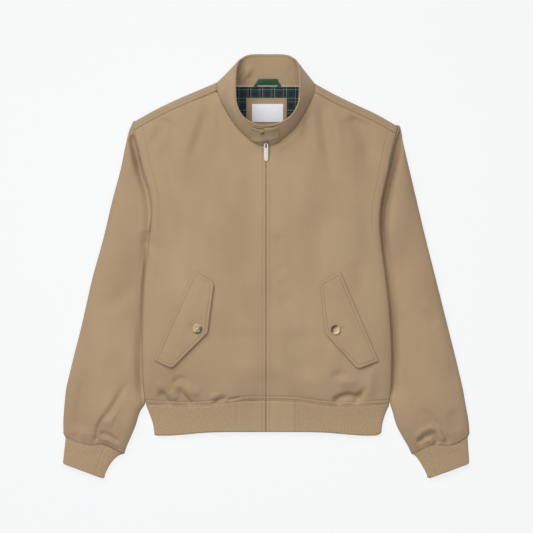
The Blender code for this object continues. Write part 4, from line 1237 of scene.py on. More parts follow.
    def heights(self, beside: Array, y: Array, share: Array, top: Array, t: float) -> Array:
        """Plain heights of a ring, held low by a soft minimum where the sleeve slips under the body's side.

        Args:
            beside: Distances outside the body's edge.
            y: Places along the body.
            share: Shares across the tube.
            top: Whether each point is on top.
            t: Share of the way to the cuff seam.

        Returns:
            Heights.
        """
        form = self.form
        low = smooth((form.tuck_top + 90 - y) / 90) * smooth((y - form.tuck_end + 70) / 70)
        edge = lerp(form.edge_rise, 4.0, low * smooth((share - 0.6) / 0.3))
        edge = edge * (1 - 0.25 * smooth((t - 0.9) / 0.1))
        z = tube_heights(share, top, edge, float(self.crown.at(t)), 0.05, self.power)
        near = smooth((form.tuck_top + 135 - y) / 135) * smooth((y - form.tuck_end + 95) / 95)
        step = self.step[self.side.column - 1]
        cap = form.tuck_sleeve + step * smooth(beside / 7)
        cap = cap + (30 - step) * (1 - near * (1 - np.clip((beside - 3) / 125, 0, 1)))
        soft = np.maximum(3.5 * smooth(beside / 20), 0.2)
        held = -soft * np.logaddexp(-z / soft, -cap / soft)
        return np.where(top & (near > 0.001), held, z)

    def build(self) -> tuple[Array, Array, Array]:
        """Builds the sleeve and sews it.

        Returns:
            Its last ring, the loop's shares and whether each point is on top.
        """
        side = self.side
        stations = spaced(((0, 0.004), (0.02, 0.0075), (0.955, 0.0035), (0.985, 0.0019), (1, 1)))
        grid, share, top = self.rings(stations)
        sheet = {"flat": (0.34, 0.6), "area": 0.142}
        look = {"closed": True, "flip": side is Side.LEFT, "wall": self.form.cloth}
        write_grid(f"sleeve_{side.word}", grid, self.wardrobe.twill, sheet, **look)
        for stitch in self.cuff_stitches:
            ring = grid[:, nearest((1 - stations) * self.length, stitch)]
            self.sewing.sew(ring[top][1:-1])
            self.sewing.sew(ring[~top][1:-1] + np.array([0, 0, 0.45]), (0, 0, -1))
        return grid[:, -1], share, top


def tube_heights(share: Array, top: Array, edge: Array, crown: float, bend: float, power: float) -> Array:
    """Heights round a flattened tube: a crowned top over a flat underside with rounded edges.

    Args:
        share: Shares across the tube, from its outer edge to its inner one.
        top: Whether each point is on top.
        edge: Height of the tube's edges.
        crown: Height of its middle.
        bend: Share over which the underside rounds up.
        power: Power of the crown's curve.

    Returns:
        Heights.
    """
    over = edge + (crown - edge) * (1 - np.abs(2 * share - 1) ** power) ** (1 / power)
    near = np.clip(np.minimum(share, 1 - share) / bend, 0, 1)
    return np.where(top, over, edge * (1 - np.sqrt(1 - (1 - near) ** 2)))


# --- ribs


@dataclass
class Ribbed(Cloth):
    """What the cuffs and the hem band share: the rib knit's ribs."""

    rib_pitch: float = 2.5
    rib_depth: float = 0.5

    def wave(self, reach: Array, pitch: float, rows: Array) -> Array:
        """Depth below the ribs' crests: depth * (1 - |cos|) ** 0.8 for each pitch, shallow by the seam."""
        ribs = self.rib_depth * (1 - np.abs(np.cos(math.pi * reach / pitch))) ** 0.8
        return ribs[:, None] * smooth(rows / 0.08 + 0.15)


@dataclass
class Cuff(Ribbed):
    """One rib cuff, a flattened tube from the sleeve's end to its opening."""

    side: Side = Side.RIGHT
    outer: Pair = (376, -366)
    inner: Pair = (300, -394)
    waist: Pair = (283, -361)
    corner: float = 4.5
    seam_at: Pair = (0.69, 0.78)  # share across of its sewn seam, at the sleeve and at the end
    crown: float = 12.0
    edge: float = 6.0
    samples: int = 4  # grid columns for each rib

    def build(self, start: Array, share: Array, top: Array) -> None:
        """Builds the cuff.

        Args:
            start: The sleeve's last ring.
            share: Shares across the sleeve of its points.
            top: Whether each of its points is on top.
        """
        form, side, outer, inner = self.form, self.side, np.array(self.outer), np.array(self.inner)
        table = np.column_stack([start, share, top])
        table = np.concatenate([table, table[:1]])
        reach = lengths(table[:, :3])
        ribs = round(reach[-1] / self.rib_pitch)
        at = np.arange(ribs * self.samples) * reach[-1] / (ribs * self.samples)
        x, y, low, w, over = read_at(at, reach, table).T
        over, plan = over > 0.5, np.stack([np.abs(x), y], axis=1)
        last = plan[np.argmax(w)]
        run = unit(last - plan[np.argmin(w)])
        plan = plan + np.array([-run[1], run[0]]) * np.sign(-run[0]) * (form.seam_gap + 0.1)
        wide = np.linalg.norm(inner - outer)
        near = np.clip(1 - np.minimum(w, 1 - w) * wide / self.corner, 0, 1)
        round_off = np.array([0, 0.7]) * (self.corner * (1 - np.sqrt(1 - near**2)))[:, None]
        end = lerp(outer, inner, w[:, None]) + round_off
        rows = np.linspace(0, 1, 22)
        z = tube_heights(w, over, self.edge, self.crown, 0.06, 2.8)
        columns = []
        for t in rows:
            bend = 4 * t * (1 - t) * (np.array(self.waist) - lerp(last, inner, 0.5))
            place = lerp(plan, end, t) + (w**2)[:, None] * bend
            columns.append(stack_side(side, place[:, 0], place[:, 1], lerp(low, z, smooth(t / 0.5))))
        grid = np.stack(columns, axis=1)
        normals = grid_normals(np.concatenate([grid[-1:], grid, grid[:1]]))[1:-1]
        normals *= np.sign(normals[over].mean(axis=(0, 1))[2])
        from_seam = (w[:, None] - lerp(*self.seam_at, rows)[None, :]) * wide
        depth = self.wave(at, reach[-1] / ribs, rows) + 0.9 * bell(from_seam, 0.9)
        look = {"closed": True, "flip": side is Side.LEFT, "wall": form.rib_wall}
        sheet = {"flat": (0.2, 0.062), "area": 0.0122}
        write_grid(f"cuff_{side.word}", grid - normals * depth[..., None], self.wardrobe.rib, sheet, **look)


@dataclass
class HemBand(Ribbed):
    """The rib band under the hem and its two woven ends beside the zip."""

    rib_depth: float = 0.55
    column_step: float = 0.62
    tab_half: float = 54.0
    tab_stitch: float = 7.0

    def strip(self, side: Side, seam: Array, kind: str, rows: Array) -> Array:
        """Columns of the band below points of the hem seam.

        Args:
            side: The wearer's side.
            seam: Points of the hem seam.
            kind: top, edge or under: the height follows the front, the narrowing side or the floor.
            rows: Shares of the way from the seam to the band's end.

        Returns:
            Points, columns by rows by 3.
        """
        form, seam_z = self.form, seam[:, 2][:, None]
        half, seam_y = np.abs(seam[:, 0])[:, None], seam[:, 1][:, None] - form.seam_gap
        y = lerp(seam_y, form.hem_end.at(half), rows[None, :])
        narrow = form.half(side, y) / form.half(side, seam_y)
        ease = smooth(rows / 0.12)[None, :]
        wide = half * lerp(1.0, lerp(1.0, narrow, smooth((half - self.tab_half) / 60)), ease)
        if kind == "top":
            z = form.height(side, wide, y)
        else:
            z = seam_z * form.rim(y) / form.rim(seam_y) if kind == "edge" else np.zeros_like(y)
        return stack_side(side, wide, y, lerp(seam_z, z, ease))

    def build(self, fronts: dict[Side, Array], backs: dict[Side, tuple[Array, int]]) -> None:
        """Builds the band and its two ends.

        Args:
            fronts: Each front's hem line from the zip to the seam under the side.
            backs: Each side's back grid and the row where its floor part ends.
        """
        form = self.form
        rows = np.concatenate([np.linspace(0, 0.1, 6), np.linspace(0.1, 1, 18)[1:]])
        ring = []
        for side in Side:
            front, back = fronts[side], backs[side][0][:, 0]
            widest = int(np.argmax(np.abs(front[:, 0])))
            halves = np.arange(self.tab_half + form.seam_gap, abs(front[widest, 0]) - 0.1, self.column_step)
            top = self.strip(side, self.on_seam(front[: widest + 1], halves), "top", rows)
            edge = self.strip(side, front[widest:], "edge", rows)
            limit = form.half(side, back[0, 1]) - form.side_wrap - form.seam_gap
            halves = np.arange(0.0, limit, self.column_step)[::-1]
            part = np.concatenate([top, edge, self.strip(side, self.on_seam(back, halves), "under", rows)])
            ring.append(part if side is Side.RIGHT else part[::-1][1:])
        grid = np.concatenate(ring)
        normals = grid_normals(grid)
        flip = 1 if normals[len(grid) // 2, len(rows) // 2, 2] < 0 else -1
        depth = self.wave(lengths(grid[:, -1]), self.rib_pitch, rows)
        grid = grid - flip * normals * (depth * lerp(0.6, 1.0, smooth((grid[..., 2] - 1.0) / 2.0)))[..., None]
        grid[..., 2] = np.maximum(grid[..., 2], 0)
        sheet = {"flat": (0.79, 0.058)}
        write_grid("hem_rib", grid, self.wardrobe.rib, sheet, flip=flip < 0, wall=form.rib_wall)
        for side in Side:
            self.end(side, fronts[side], rows)

    def on_seam(self, seam: Array, halves: Array) -> Array:
        """Points of a hem seam at distances from the centre, straight between its own points."""
        return read_at(halves, np.abs(seam[:, 0]), seam)

    def end(self, side: Side, front: Array, rows: Array) -> None:
        """Builds the woven end of the band on one side and sews its edge beside the zip.

        Args:
            side: The wearer's side.
            front: That front's hem line.
            rows: Shares of the way from the seam to the band's end.
        """
        edge, half = self.form.zip_edge, self.tab_half
        halves = spaced(((edge, 0.8), (9.0, 3.0), (half - 6, 1.2), (half, 1)))
        grid = self.strip(side, self.on_seam(front, halves), "top", rows)
        depth = 0.4 * bell(halves - self.tab_stitch, 1.0) + 0.9 * fade(halves - edge, 1.2)
        depth = depth + 0.7 * bell(halves - 30, 7.0) * (0.6 + 0.4 * side.value)
        depth = depth + 0.8 * fade(half - halves, 1.5)
        grid[..., 2] -= depth[:, None]
        look = {"flip": side is Side.LEFT, "wall": self.form.cloth}
        write_grid(f"hem_tab_{side.word}", grid, self.wardrobe.pressed, {"flat": (0.053, 0.06)}, **look)
        self.sewing.sew(grid[nearest(halves, self.tab_stitch)])


# --- collar


COLLAR_ROWS = np.concatenate([np.linspace(0, 0.84, 17), np.linspace(0.84, 1, 11)[1:]])  # shares of the way up


@dataclass
class Collar(Cloth):
    """The stand collar with its rows of stitching."""

    wall: float = 2.4
    bow: float = 3.0
    lean: float = 3.2  # how far the top edge leans to the wearer's left
    middle_y: float = 262.0  # y that the seam's inward direction points at
    # Columns: share of the neck seam from the centre back, then x, y and z of the top edge.
    top: Curve = Curve((
        (0, 0, 392, 4.5), (0.15, 22, 392, 5), (0.25, 36, 390.5, 7), (0.33, 46, 386, 12),
        (0.37, 53.6, 380, 18), (0.41, 58, 366, 34), (0.455, 59, 356, 46), (0.53, 60, 333, 62),
        (0.59, 59.6, 313, 70), (0.65, 57.4, 298, 74), (0.71, 51, 283, 75), (0.77, 41, 271.5, 75),
        (0.84, 28.7, 264, 74), (0.92, 14.8, 258.5, 73), (1, 1.2, 257, 73),
    ))
    folds: tuple[Fold, ...] = (
        Fold(((-50, 340), (-38, 354), (-24, 376)), 5.6, 5.5, (0.1, 0.5), 0.3),
        Fold(((-40, 340), (-28, 356)), -2.4, 6, (0.2, 0.4)),
        Fold(((-46, 352), (-44, 378)), -2.6, 6, (0.2, 0.2)),
        Fold(((44, 344), (46, 372)), -1.8, 5, (0.2, 0.3)),
    )
    edge_stitch: float = 3.2

    def seam(self, front: Front, back: Array, flat: int) -> Array:
        """Half of the neck seam from the centre back: back neckline, over the shoulder, front's neckline.

        Args:
            front: That side's front.
            back: That side's back grid.
            flat: The row where the back's floor part ends.

        Returns:
            Points of the seam.
        """
        form = self.form
        column = nearest(np.abs(back[:, flat, 0]), form.neck_half + 0.5)
        halves = spaced(((form.zip_edge, 2.0), (form.neck_half, 1)))[::-1]
        neck = front.points(halves, np.array([1.0]))[1:, 0]
        neck[:, 2] += front.roll
        return np.concatenate([back[: column + 1, flat], back[column, flat + 1 :], neck])

    def half_grid(self, side: Side, seam: Array, shares: Array) -> Array:
        """Half of the collar: straight rulings from the neck seam to the top edge, bowed outwards.

        Args:
            side: The wearer's side.
            seam: Points of the neck seam.
            shares: Shares along the seam from the centre back.

        Returns:
            Points, columns by rows by 3.
        """
        reach, gap, rows = lengths(seam), self.form.seam_gap, COLLAR_ROWS
        base = read_at(shares, reach / reach[-1], seam)
        top = np.stack([self.top.at(shares, column) for column in (1, 2, 3)], axis=1)
        top[:, 0] = side.value * top[:, 0] + self.lean * (1 - smooth((shares - 0.55) / 0.35))
        inward = unit(np.stack([-base[:, 0], self.middle_y - base[:, 1], 0 * shares], axis=1))
        start = base + inward * (smooth((shares - 0.27) / 0.06) * (gap + 0.2))[:, None]
        start[:, 1] += (gap + 0.5) * (1 - smooth((shares - 0.31) / 0.06))
        start[:, 2] -= 1.3 * smooth((shares - 0.33) / 0.06)
        bow = self.bow * smooth((shares - 0.35) / 0.2) * smooth((1 - shares) / 0.12)
        inward, arch = inward[:, None], np.sin(math.pi * rows)
        grid = lerp(start[:, None], top[:, None], rows[:, None]) - inward * (bow[:, None] * arch)[..., None]
        lying = 1 - smooth((shares - 0.24) / 0.12)
        lift = total_lift(self.folds, grid[..., 0], grid[..., 1]) * lying[:, None]
        grid[..., 2] += np.maximum(lift, -1.0) * arch
        wave = rumple(grid[..., 0] * 2 + grid[..., 2], grid[..., 1] * 2, 91 + side.column, 0.5)
        calm = smooth((shares - 0.3) / 0.2) * smooth((1 - shares) / 0.2)
        return grid - inward * (wave * calm[:, None] * arch)[..., None]

    def build(self, fronts: dict[Side, Front], backs: dict[Side, tuple[Array, int]]) -> Array:
        """Builds the collar and sews its rows.

        Args:
            fronts: The two fronts.
            backs: Each side's back grid and the row where its floor part ends.

        Returns:
            The collar's grid.
        """
        shares = np.linspace(0, 1, 110)
        right, left = (self.half_grid(side, self.seam(fronts[side], *backs[side]), shares) for side in Side)
        grid = np.concatenate([right[::-1], left[1:]])
        normals = grid_normals(grid)
        if normals[len(shares) // 3, len(COLLAR_ROWS) // 2, 0] > 0:
            normals = -normals
        x, z = grid[..., 0], grid[..., 2]
        from_top = np.linalg.norm(grid - grid[:, -1:], axis=2)
        from_stitch = from_top - self.edge_stitch
        closing = smooth((x + 6) / 4) * smooth((27 - x) / 6) * (z > 50)
        groove = 0.35 * bell(from_stitch, 1.0) + closing * 5.0 * bell(from_stitch, 1.2)
        closing = smooth((x + 27) / 4) * smooth((12 - x) / 8) * (z > 45)
        groove = groove + closing * 2.6 * bell(from_top - 39 + 8 * smooth((x + 20) / 30), 3.2)
        shaped = grid - normals * groove[..., None]
        sheet = {"flat": (0.5, 0.062), "area": 0.0285}
        write_grid("collar", shaped, self.wardrobe.twill, sheet, flip=True, wall=self.wall, round_edge=0.9)
        row = nearest(from_top[len(grid) // 4], self.edge_stitch)
        self.sewing.sew(shaped[:, row], normals[:, row])
        self.sewing.sew(shaped[:, row] - normals[:, row] * self.wall, -normals[:, row])
        self.sewing.sew(shaped[2:-2, 1], normals[2:-2, 1])
        return shaped


@dataclass
class CollarTab(Cloth):
    """The pointed tab that crosses the collar's ends, with its button and edge stitching."""

    wall: float = 1.8
    standoff: float = 3.2
    flare: float = 2.2  # how far the long edges stand away more than the middle
    left: float = -25.0
    right: float = 22.0
    rows_span: tuple[float, float, float] = (0.33, 0.47, 0.905)  # low edge at the left and right, high edge
    edge_stitch: float = 2.6
    button_at: Pair = (-7.5, 245.5)
    button_size: float = 9.0

    def build(self, collar: Array) -> None:
        """Builds the tab as a patch of the collar moved out along its normals, then its button.

        Args:
            collar: The collar's grid.
        """
        joined = np.concatenate([collar[-16:], collar[:16]])
        joined = joined[np.argsort(joined[:, 0, 0])]
        columns = spaced(((self.left, 0.7), (self.left + 5, 2.0), (self.right - 5, 0.7), (self.right, 1)))
        low_left, low_right, high = self.rows_span
        low = lerp(low_left, low_right, smooth((columns + 20) / 30))
        rows = lerp(low[:, None], high, np.linspace(0, 1, 20))
        ruled = np.stack([read_at(columns, line[:, 0], line) for line in joined.transpose(1, 0, 2)], axis=1)
        patch = np.stack([read_at(row, COLLAR_ROWS, line) for row, line in zip(rows, ruled)])
        normals = grid_normals(patch)
        normals *= np.sign(normals[..., 2:3])
        edge = np.minimum(columns - self.left, self.right - columns)
        raised = smooth((self.right - columns) / 14) * self.standoff + 0.5
        raised = raised - 0.3 * bell(edge - self.edge_stitch, 0.8)
        flare = self.flare * np.abs(np.linspace(-1, 1, 20)) ** 3
        outer = patch + normals * (raised[:, None, None] + flare[:, None] + self.wall)
        sheet = {"flat": (0.048, 0.034), "rests_on": ["collar_cloth"]}
        write_grid("collar_tab", outer, self.wardrobe.twill, sheet, wall=self.wall, round_edge=0.6)
        for row in (2, -3):
            self.sewing.sew(outer[1:-1, row], normals[1:-1, row])
        self.sewing.sew(outer[nearest(columns, self.left + self.edge_stitch), 1:-1], normals[3, 1:-1])
        column = nearest(columns, self.button_at[0])
        row = nearest(outer[column, :, 1], self.button_at[1])
        seat, up, size = outer[column, row], normals[column, row], self.button_size
        smoky = ("#B99C6C", "#937346", "#5A4226")
        finish = HornFinish("tab_button_horn", (seat[0], seat[1]), 300.0, size, *smoky)
        Button("collar_button", size, seat + up * 0.3, up, finish, 0.7).build(self.wardrobe.thread)


# --- trims


@dataclass
class Button:
    """A dished button sewn on with two bars of thread."""

    node: str
    size: float
    seat: Array
    up: Array | Sequence[float]
    finish: HornFinish
    thickness: float = 1.0
    facets: int = 48
    # Columns: distance from the axis in radii, height in thicknesses.
    profile: Table = (
        (0.80, 0), (0.93, 0.45), (0.99, 1.1), (1, 1.7), (0.985, 2.3), (0.94, 2.75), (0.87, 2.95), (0.79, 2.9),
        (0.70, 2.55), (0.60, 2.05), (0.46, 1.75), (0.28, 1.62),
    )
    well: float = 1.6  # height of its middle, in thicknesses

    def build(self, thread: Bolt) -> None:
        """Turns the profile about the button's axis and adds the bars of thread in its well.

        Args:
            thread: The thread's finish.
        """
        away, height = np.array(self.profile).T * [[self.size / 2], [self.thickness]]
        count, rows, well = self.facets, len(away), self.well * self.thickness
        angles = np.arange(count)[:, None] * 2 * math.pi / count
        rings = np.stack([away * np.cos(angles), away * np.sin(angles), height + 0 * angles], axis=-1)
        points = np.concatenate([rings.reshape(-1, 3), [[0, 0, 0], [0, 0, well]]])
        first = np.arange(count) * rows
        after, last = np.roll(first, -1), first + rows - 1
        faces = [*grid_quads(count, rows, closed=True).reshape(-1, 4)]
        faces += [*np.stack([np.full(count, len(points) - 2), after, first], axis=1)]
        faces += [*np.stack([np.full(count, len(points) - 1), last, np.roll(last, -1)], axis=1)]
        turn = np.array(Vector(self.up).to_track_quat("Z", "Y").to_matrix()).T
        horn = Bolt(self.finish.material(), "button")
        write_piece(f"{self.node}_horn", points @ turn + self.seat, faces, horn, self.node)
        reach = self.size * 0.11
        bars = Sewing(length=reach * 2.6, pitch=reach * 2.7, radius=self.size * 0.028, rise=0.0)
        for side in (-reach, reach):
            bar = np.array([[-1.35 * reach, side, well + 0.25], [1.35 * reach, side, well + 0.25]])
            bars.sew(bar @ turn + self.seat, self.up)
        bars.write(f"{self.node}_thread", thread)


@dataclass
class PocketFlap(Cloth):
    """A slanted five-cornered flap with its edge stitching, buttonhole and button."""

    side: Side = Side.RIGHT
    corners: Table = ()
    button_at: Pair = (0, 0)
    hole: Pair = (0, 0)  # from the button to the buttonhole's far end
    smoke_turn: float = 300.0
    radii: tuple[float, ...] = (1.5, 11.0, 6.0, 8.0, 1.5)
    wall: float = 1.8
    puff: float = 3.2
    stitch: float = 5.0
    middle: float = 20.0  # distance inside the edge that stands for the flap's middle

    def ring(self, inset: float) -> Array:
        """The outline moved in by an inset, with its corners rounded by arcs.

        A corner moves along the sum of its sides' inward normals by inset / (1 + cos of its turn). An arc of
        its radius less the inset rounds it, so rings of all insets have the same number of points.

        Args:
            inset: Distance inside the flap's edge.

        Returns:
            Closed line of plan points.
        """
        nodes, radii = np.array(self.corners, float), np.array(self.radii)
        turned = np.roll(nodes, -1, 0)
        if np.sum(nodes[:, 0] * turned[:, 1] - turned[:, 0] * nodes[:, 1]) < 0:
            nodes, radii = nodes[::-1], radii[::-1]
        run = unit(np.roll(nodes, -1, 0) - nodes)
        before = np.roll(run, 1, 0)
        inner = np.stack([-run[:, 1], run[:, 0]], axis=1)
        inner_before = np.roll(inner, 1, 0)
        turn = np.arccos(np.clip((before * run).sum(1), -1, 1))[:, None]
        corner = nodes + (inner + inner_before) * inset / (1 + np.cos(turn))
        radius = np.maximum(radii - inset, 0.6)[:, None]
        back = radius * np.tan(turn / 2)
        enter = corner - before * back
        start = np.arctan2(-inner_before[:, 1], -inner_before[:, 0])[:, None]
        angle = start + turn * np.linspace(0, 1, 7)
        arcs = np.stack([np.cos(angle), np.sin(angle)], axis=-1) * radius[:, None]
        arcs = arcs + (enter + inner_before * radius)[:, None]
        first, last = corner + run * back, np.roll(enter, -1, 0)
        sides = lerp(first[:, None], last[:, None], np.linspace(0, 1, 22)[1:-1, None])
        return np.concatenate([arcs, sides], axis=1).reshape(-1, 2)

    def surface(self, plan: Array, inset: Array | float) -> Array:
        """Points of the flap over the front.

        Args:
            plan: Plan points.
            inset: Their distance inside the edge.

        Returns:
            Points: the front's height, a puffed middle, a rolled edge and a stitched groove.
        """
        side, top, foot = self.side, np.array(self.corners[0]), np.array(self.corners[-1])
        x, y = plan[..., 0], plan[..., 1]
        run = unit(foot - top)
        welt = np.abs((x - top[0]) * run[1] - (y - top[1]) * run[0])
        z = body_surface(self.form, side, side.value * x, y) + self.wall + 1.7 + self.puff * smooth(welt / 26)
        z = z + 0.5 * rumple(x * 1.7, y * 1.7, 131 + side.column, 0.8) * smooth(inset / 8)
        z = z - 0.7 * fade(inset, 0.9) - 0.6 * bell(inset - self.stitch, 1.0)
        z = z - 1.3 * bell(np.hypot(x - self.button_at[0], y - self.button_at[1]), 15)
        return np.concatenate([plan, z[..., None]], axis=-1)

    def build(self) -> None:
        """Builds the flap, its edge stitching, its buttonhole and its button."""
        insets = [0, 0.35, 0.8, 1.5, 2.4, 3.4, 4.2, 4.7, 5.0, 5.3, 5.8, 6.8, 8.5, 11, 14]
        rings = [self.ring(inset) for inset in insets]
        centre = rings[-1].mean(axis=0)
        inner = [lerp(centre, rings[-1], share) for share in (0.8, 0.6, 0.4, 0.2)]
        grid = self.surface(np.stack(rings + inner, axis=1), np.array(insets + [18, 21, 24, 26]))
        columns, rows = grid.shape[:2]
        points = np.concatenate([grid.reshape(-1, 3), self.surface(centre[None], 28.0)])
        last = np.arange(columns) * rows + rows - 1
        faces = [*grid_quads(columns, rows, closed=True).reshape(-1, 4)]
        faces += [*np.stack([last, np.roll(last, -1), np.full(columns, columns * rows)], axis=1)]
        name, look = f"pocket_flap_{self.side.word}", {"flat": points[:, :2] * MM, "round_edge": 0.5}
        piece = write_piece(f"{name}_cloth", points, faces, self.wardrobe.twill, name, wall=self.wall, **look)
        line = self.ring(self.stitch)
        self.sewing.sew(self.surface(np.concatenate([line, line[:1]]), self.stitch))
        self.buttonhole()
        seat = self.surface(np.array([self.button_at]), self.middle)[0] + [0, 0, 0.4]
        finish = HornFinish(f"{name}_horn", self.button_at, self.smoke_turn)
        Button(f"pocket_button_{self.side.word}", 18.0, seat, (0, 0, 1), finish).build(self.wardrobe.thread)

    def buttonhole(self) -> None:
        """Sews the buttonhole's two long sides past the button and the bar at its far end."""
        button, run = np.array(self.button_at), unit(np.array(self.hole))
        across, far = np.array([-run[1], run[0]]), button + self.hole
        rows = [(button + run * 9 + across * offset, far + across * offset, 8) for offset in (-1.1, 1.1)]
        rows.append((far - across * 1.9, far + across * 1.9, 5))
        for start, end, count in rows:
            self.sewing.sew(self.surface(lerp(start, end, np.linspace(0, 1, count)[:, None]), self.middle))


def layered(layers: Sequence[tuple[Array, float]]) -> Array:
    """Grid of points, round the outline by layers, from each layer's plan outline and height."""
    return np.stack([np.column_stack([plan, np.full(len(plan), z)]) for plan, z in layers], axis=1)


def turned(points: Array, angle: float) -> Array:
    """Points turned about X by an angle in degrees."""
    return points @ np.array(Matrix.Rotation(math.radians(angle), 3, "X")).T


@dataclass
class Zip(Cloth):
    """The closed zip: two tapes, the coil's teeth, the slider and its pull."""

    ends: Pair = (-306, 221)
    tape: tuple[float, ...] = (0.5, 2.0, 5.0, 9.0, 13.0)  # columns of a tape, from the slit
    tape_wall: float = 0.9
    tooth_pitch: float = 1.55
    slider_at: tuple[float, float, float] = (0, 227.3, 44.7)
    slider_tilt: float = 45.0
    plate_half: Table = ((2.5, 5), (3.7, 3.2), (3.6, 0), (2.9, -3), (2.3, -5))
    plate_wall: float = 1.4
    plate_ease: float = 0.35
    bridge_bar: Pair = (1.05, 0.5)  # half width and half thickness
    pull_tilt: float = 12.0
    pull_rise: float = 2.7  # of the pull's axis above the slider's foot
    pull_wall: float = 1.5
    pull_ease: float = 0.3
    # Columns: half width, distance from the hinge's axis.
    pull_half: Table = (
        (0.0, 1.2), (1.6, 1.1), (2.9, 0.7), (3.6, -0.4), (3.9, -3), (4.0, -6.5), (4.1, -12), (4.2, -17),
        (4.2, -22), (4.05, -26), (3.6, -29.4), (2.6, -31.6), (1.4, -32.7), (0.0, -33.0),
    )
    slot_half: Table = (
        (0, -0.75), (0.9, -0.8), (1.4, -1.1), (1.6, -1.7), (1.6, -3), (1.6, -4.4), (1.6, -5.6),
        (1.6, -6.4), (1.5, -6.9), (1.3, -7.3), (1, -7.55), (0.7, -7.7), (0.35, -7.78), (0, -7.8),
    )

    def line(self) -> Array:
        """The zip's middle line under the fronts' edges, from the hem's end to the neck."""
        form, (low, high) = self.form, self.ends
        y = np.linspace(low, high, 180)
        z = form.height(Side.LEFT, np.full_like(y, 3.0), y) - form.cloth - self.tape_wall
        z = z + total_lift(SHARED_FOLDS, 0 * y, y) * smooth((y + 256) / 5 + 0.25) * smooth((high - y) / 16)
        return np.stack([0 * y, y, z], axis=1)

    def build(self) -> None:
        """Builds every part of the zip."""
        line, halves = self.line(), np.array(self.tape)
        look = {"sheet": {"flat": (0.0125, 0.53)}, "wall": self.tape_wall}
        for side in Side:
            grid = np.tile(line, (len(halves), 1, 1))
            grid[..., 0] = (side.value * halves)[:, None]
            grid[..., 2] -= 0.25 * (halves / halves[-1])[:, None]
            write_grid(f"zip_tape_{side.word}", grid, self.wardrobe.zip_tape, flip=side is Side.LEFT, **look)
        self.teeth(line)
        self.slider()
        self.pull()

    def teeth(self, line: Array) -> None:
        """Rows of coil turns that lean across the slit, alternating from the two tapes.

        Args:
            line: The zip's middle line.
        """
        coil = Sewing(length=2.6, pitch=self.tooth_pitch, radius=0.5, rise=0.35)
        _, place, run = along_line(line, self.tooth_pitch)
        out = np.array([0.0, 0.0, 1.0])
        for side in Side:
            across = unit(np.array([1.0, 0.28 * side.value, 0.0]))
            frames = np.tile([across, np.cross(out, across), out], (len(place), 1, 1))
            shift = run * 0.25 * side.value * self.tooth_pitch
            coil.rows.append((place + shift + [0.55 * side.value, 0, coil.rise], frames))
        coil.write("zip_coil", self.wardrobe.coil)

    def placed(self, grid: Array, rise: float, tilt: float) -> Array:
        """Points of a metal part in the jacket's frame.

        Args:
            grid: Points in the part's own frame.
            rise: Height of its origin above the slider's foot, square to the collar's slope.
            tilt: Its turn about X in degrees.

        Returns:
            Points, n by 3.
        """
        foot = self.slider_at + turned(np.array([0.0, 0.0, rise]), self.slider_tilt)
        return turned(grid.reshape(-1, 3), tilt) + foot

    def plate(self) -> Array:
        """The slider's body, a waisted plate with chamfered rims."""
        right, ease, high = np.array(self.plate_half), self.plate_ease, self.plate_wall
        outline = np.concatenate([right, right[::-1] * (-1, 1)])
        inset = outline - unit(outline - outline.mean(axis=0)) * ease
        return layered([(inset, 0.0), (outline, ease), (outline, high - ease), (inset, high)])

    def bridge(self) -> Array:
        """The arch that holds the pull: a rounded bar swept along a half ellipse in the slider's YZ plane."""
        angles = np.linspace(math.radians(-8), math.radians(188), 22)
        spine = np.stack([0 * angles, 0.5 + 4.0 * np.cos(angles), 1.0 + 3.6 * np.sin(angles)], axis=1)
        side, (wide, thick) = np.array([1.0, 0.0, 0.0]), self.bridge_bar
        out = np.cross(unit(np.gradient(spine, axis=0)), side)
        turns = (np.arange(10) * math.pi / 5)[:, None, None]
        return spine + wide * np.cos(turns) * side + thick * np.sin(turns) * out

    def slider(self) -> None:
        """Builds the slider from its plate, whose faces are turned over, and its bridge, with end caps."""
        points, faces, start = [], [], 0
        for grid, step in ((self.plate(), -1), (self.bridge(), 1)):
            columns, rows = grid.shape[:2]
            quads = grid_quads(columns, rows, closed=True).reshape(-1, 4)[:, ::step]
            ends = np.arange(columns) * rows
            faces += [face + start for face in (*quads, ends[::-step], ends[::step] + rows - 1)]
            points.append(self.placed(grid, 0.0, self.slider_tilt))
            start += columns * rows
        placed, nickel = np.concatenate(points), self.wardrobe.nickel
        write_piece("zip_slider_nickel", placed, faces, nickel, "zip_slider", sharp=35)

    def pull(self) -> None:
        """The pull: a slim tab with a slot, its outline and slot as two matching rings, chamfered."""
        halves = (np.array(half) for half in (self.pull_half, self.slot_half))
        outline, hole = (np.concatenate([half, half[-2:0:-1] * (-1, 1)]) for half in halves)
        thick, ease, middle = self.pull_wall / 2, self.pull_ease, np.array([0.0, -15.0])
        inset = outline - unit(outline - middle) * ease
        upper = [(hole, thick), (inset, thick), (outline, thick - ease)]
        grid = layered(upper + [(plan, -z) for plan, z in upper[::-1]])
        rows = grid.shape[1]
        column, row = np.divmod(grid_quads(len(grid), rows + 1, closed=True).reshape(-1, 4), rows + 1)
        points = self.placed(grid, self.pull_rise, self.pull_tilt)
        faces = column * rows + row % rows
        write_piece("zip_pull_nickel", points, faces, self.wardrobe.nickel, "zip_pull", PULL, sharp=35)


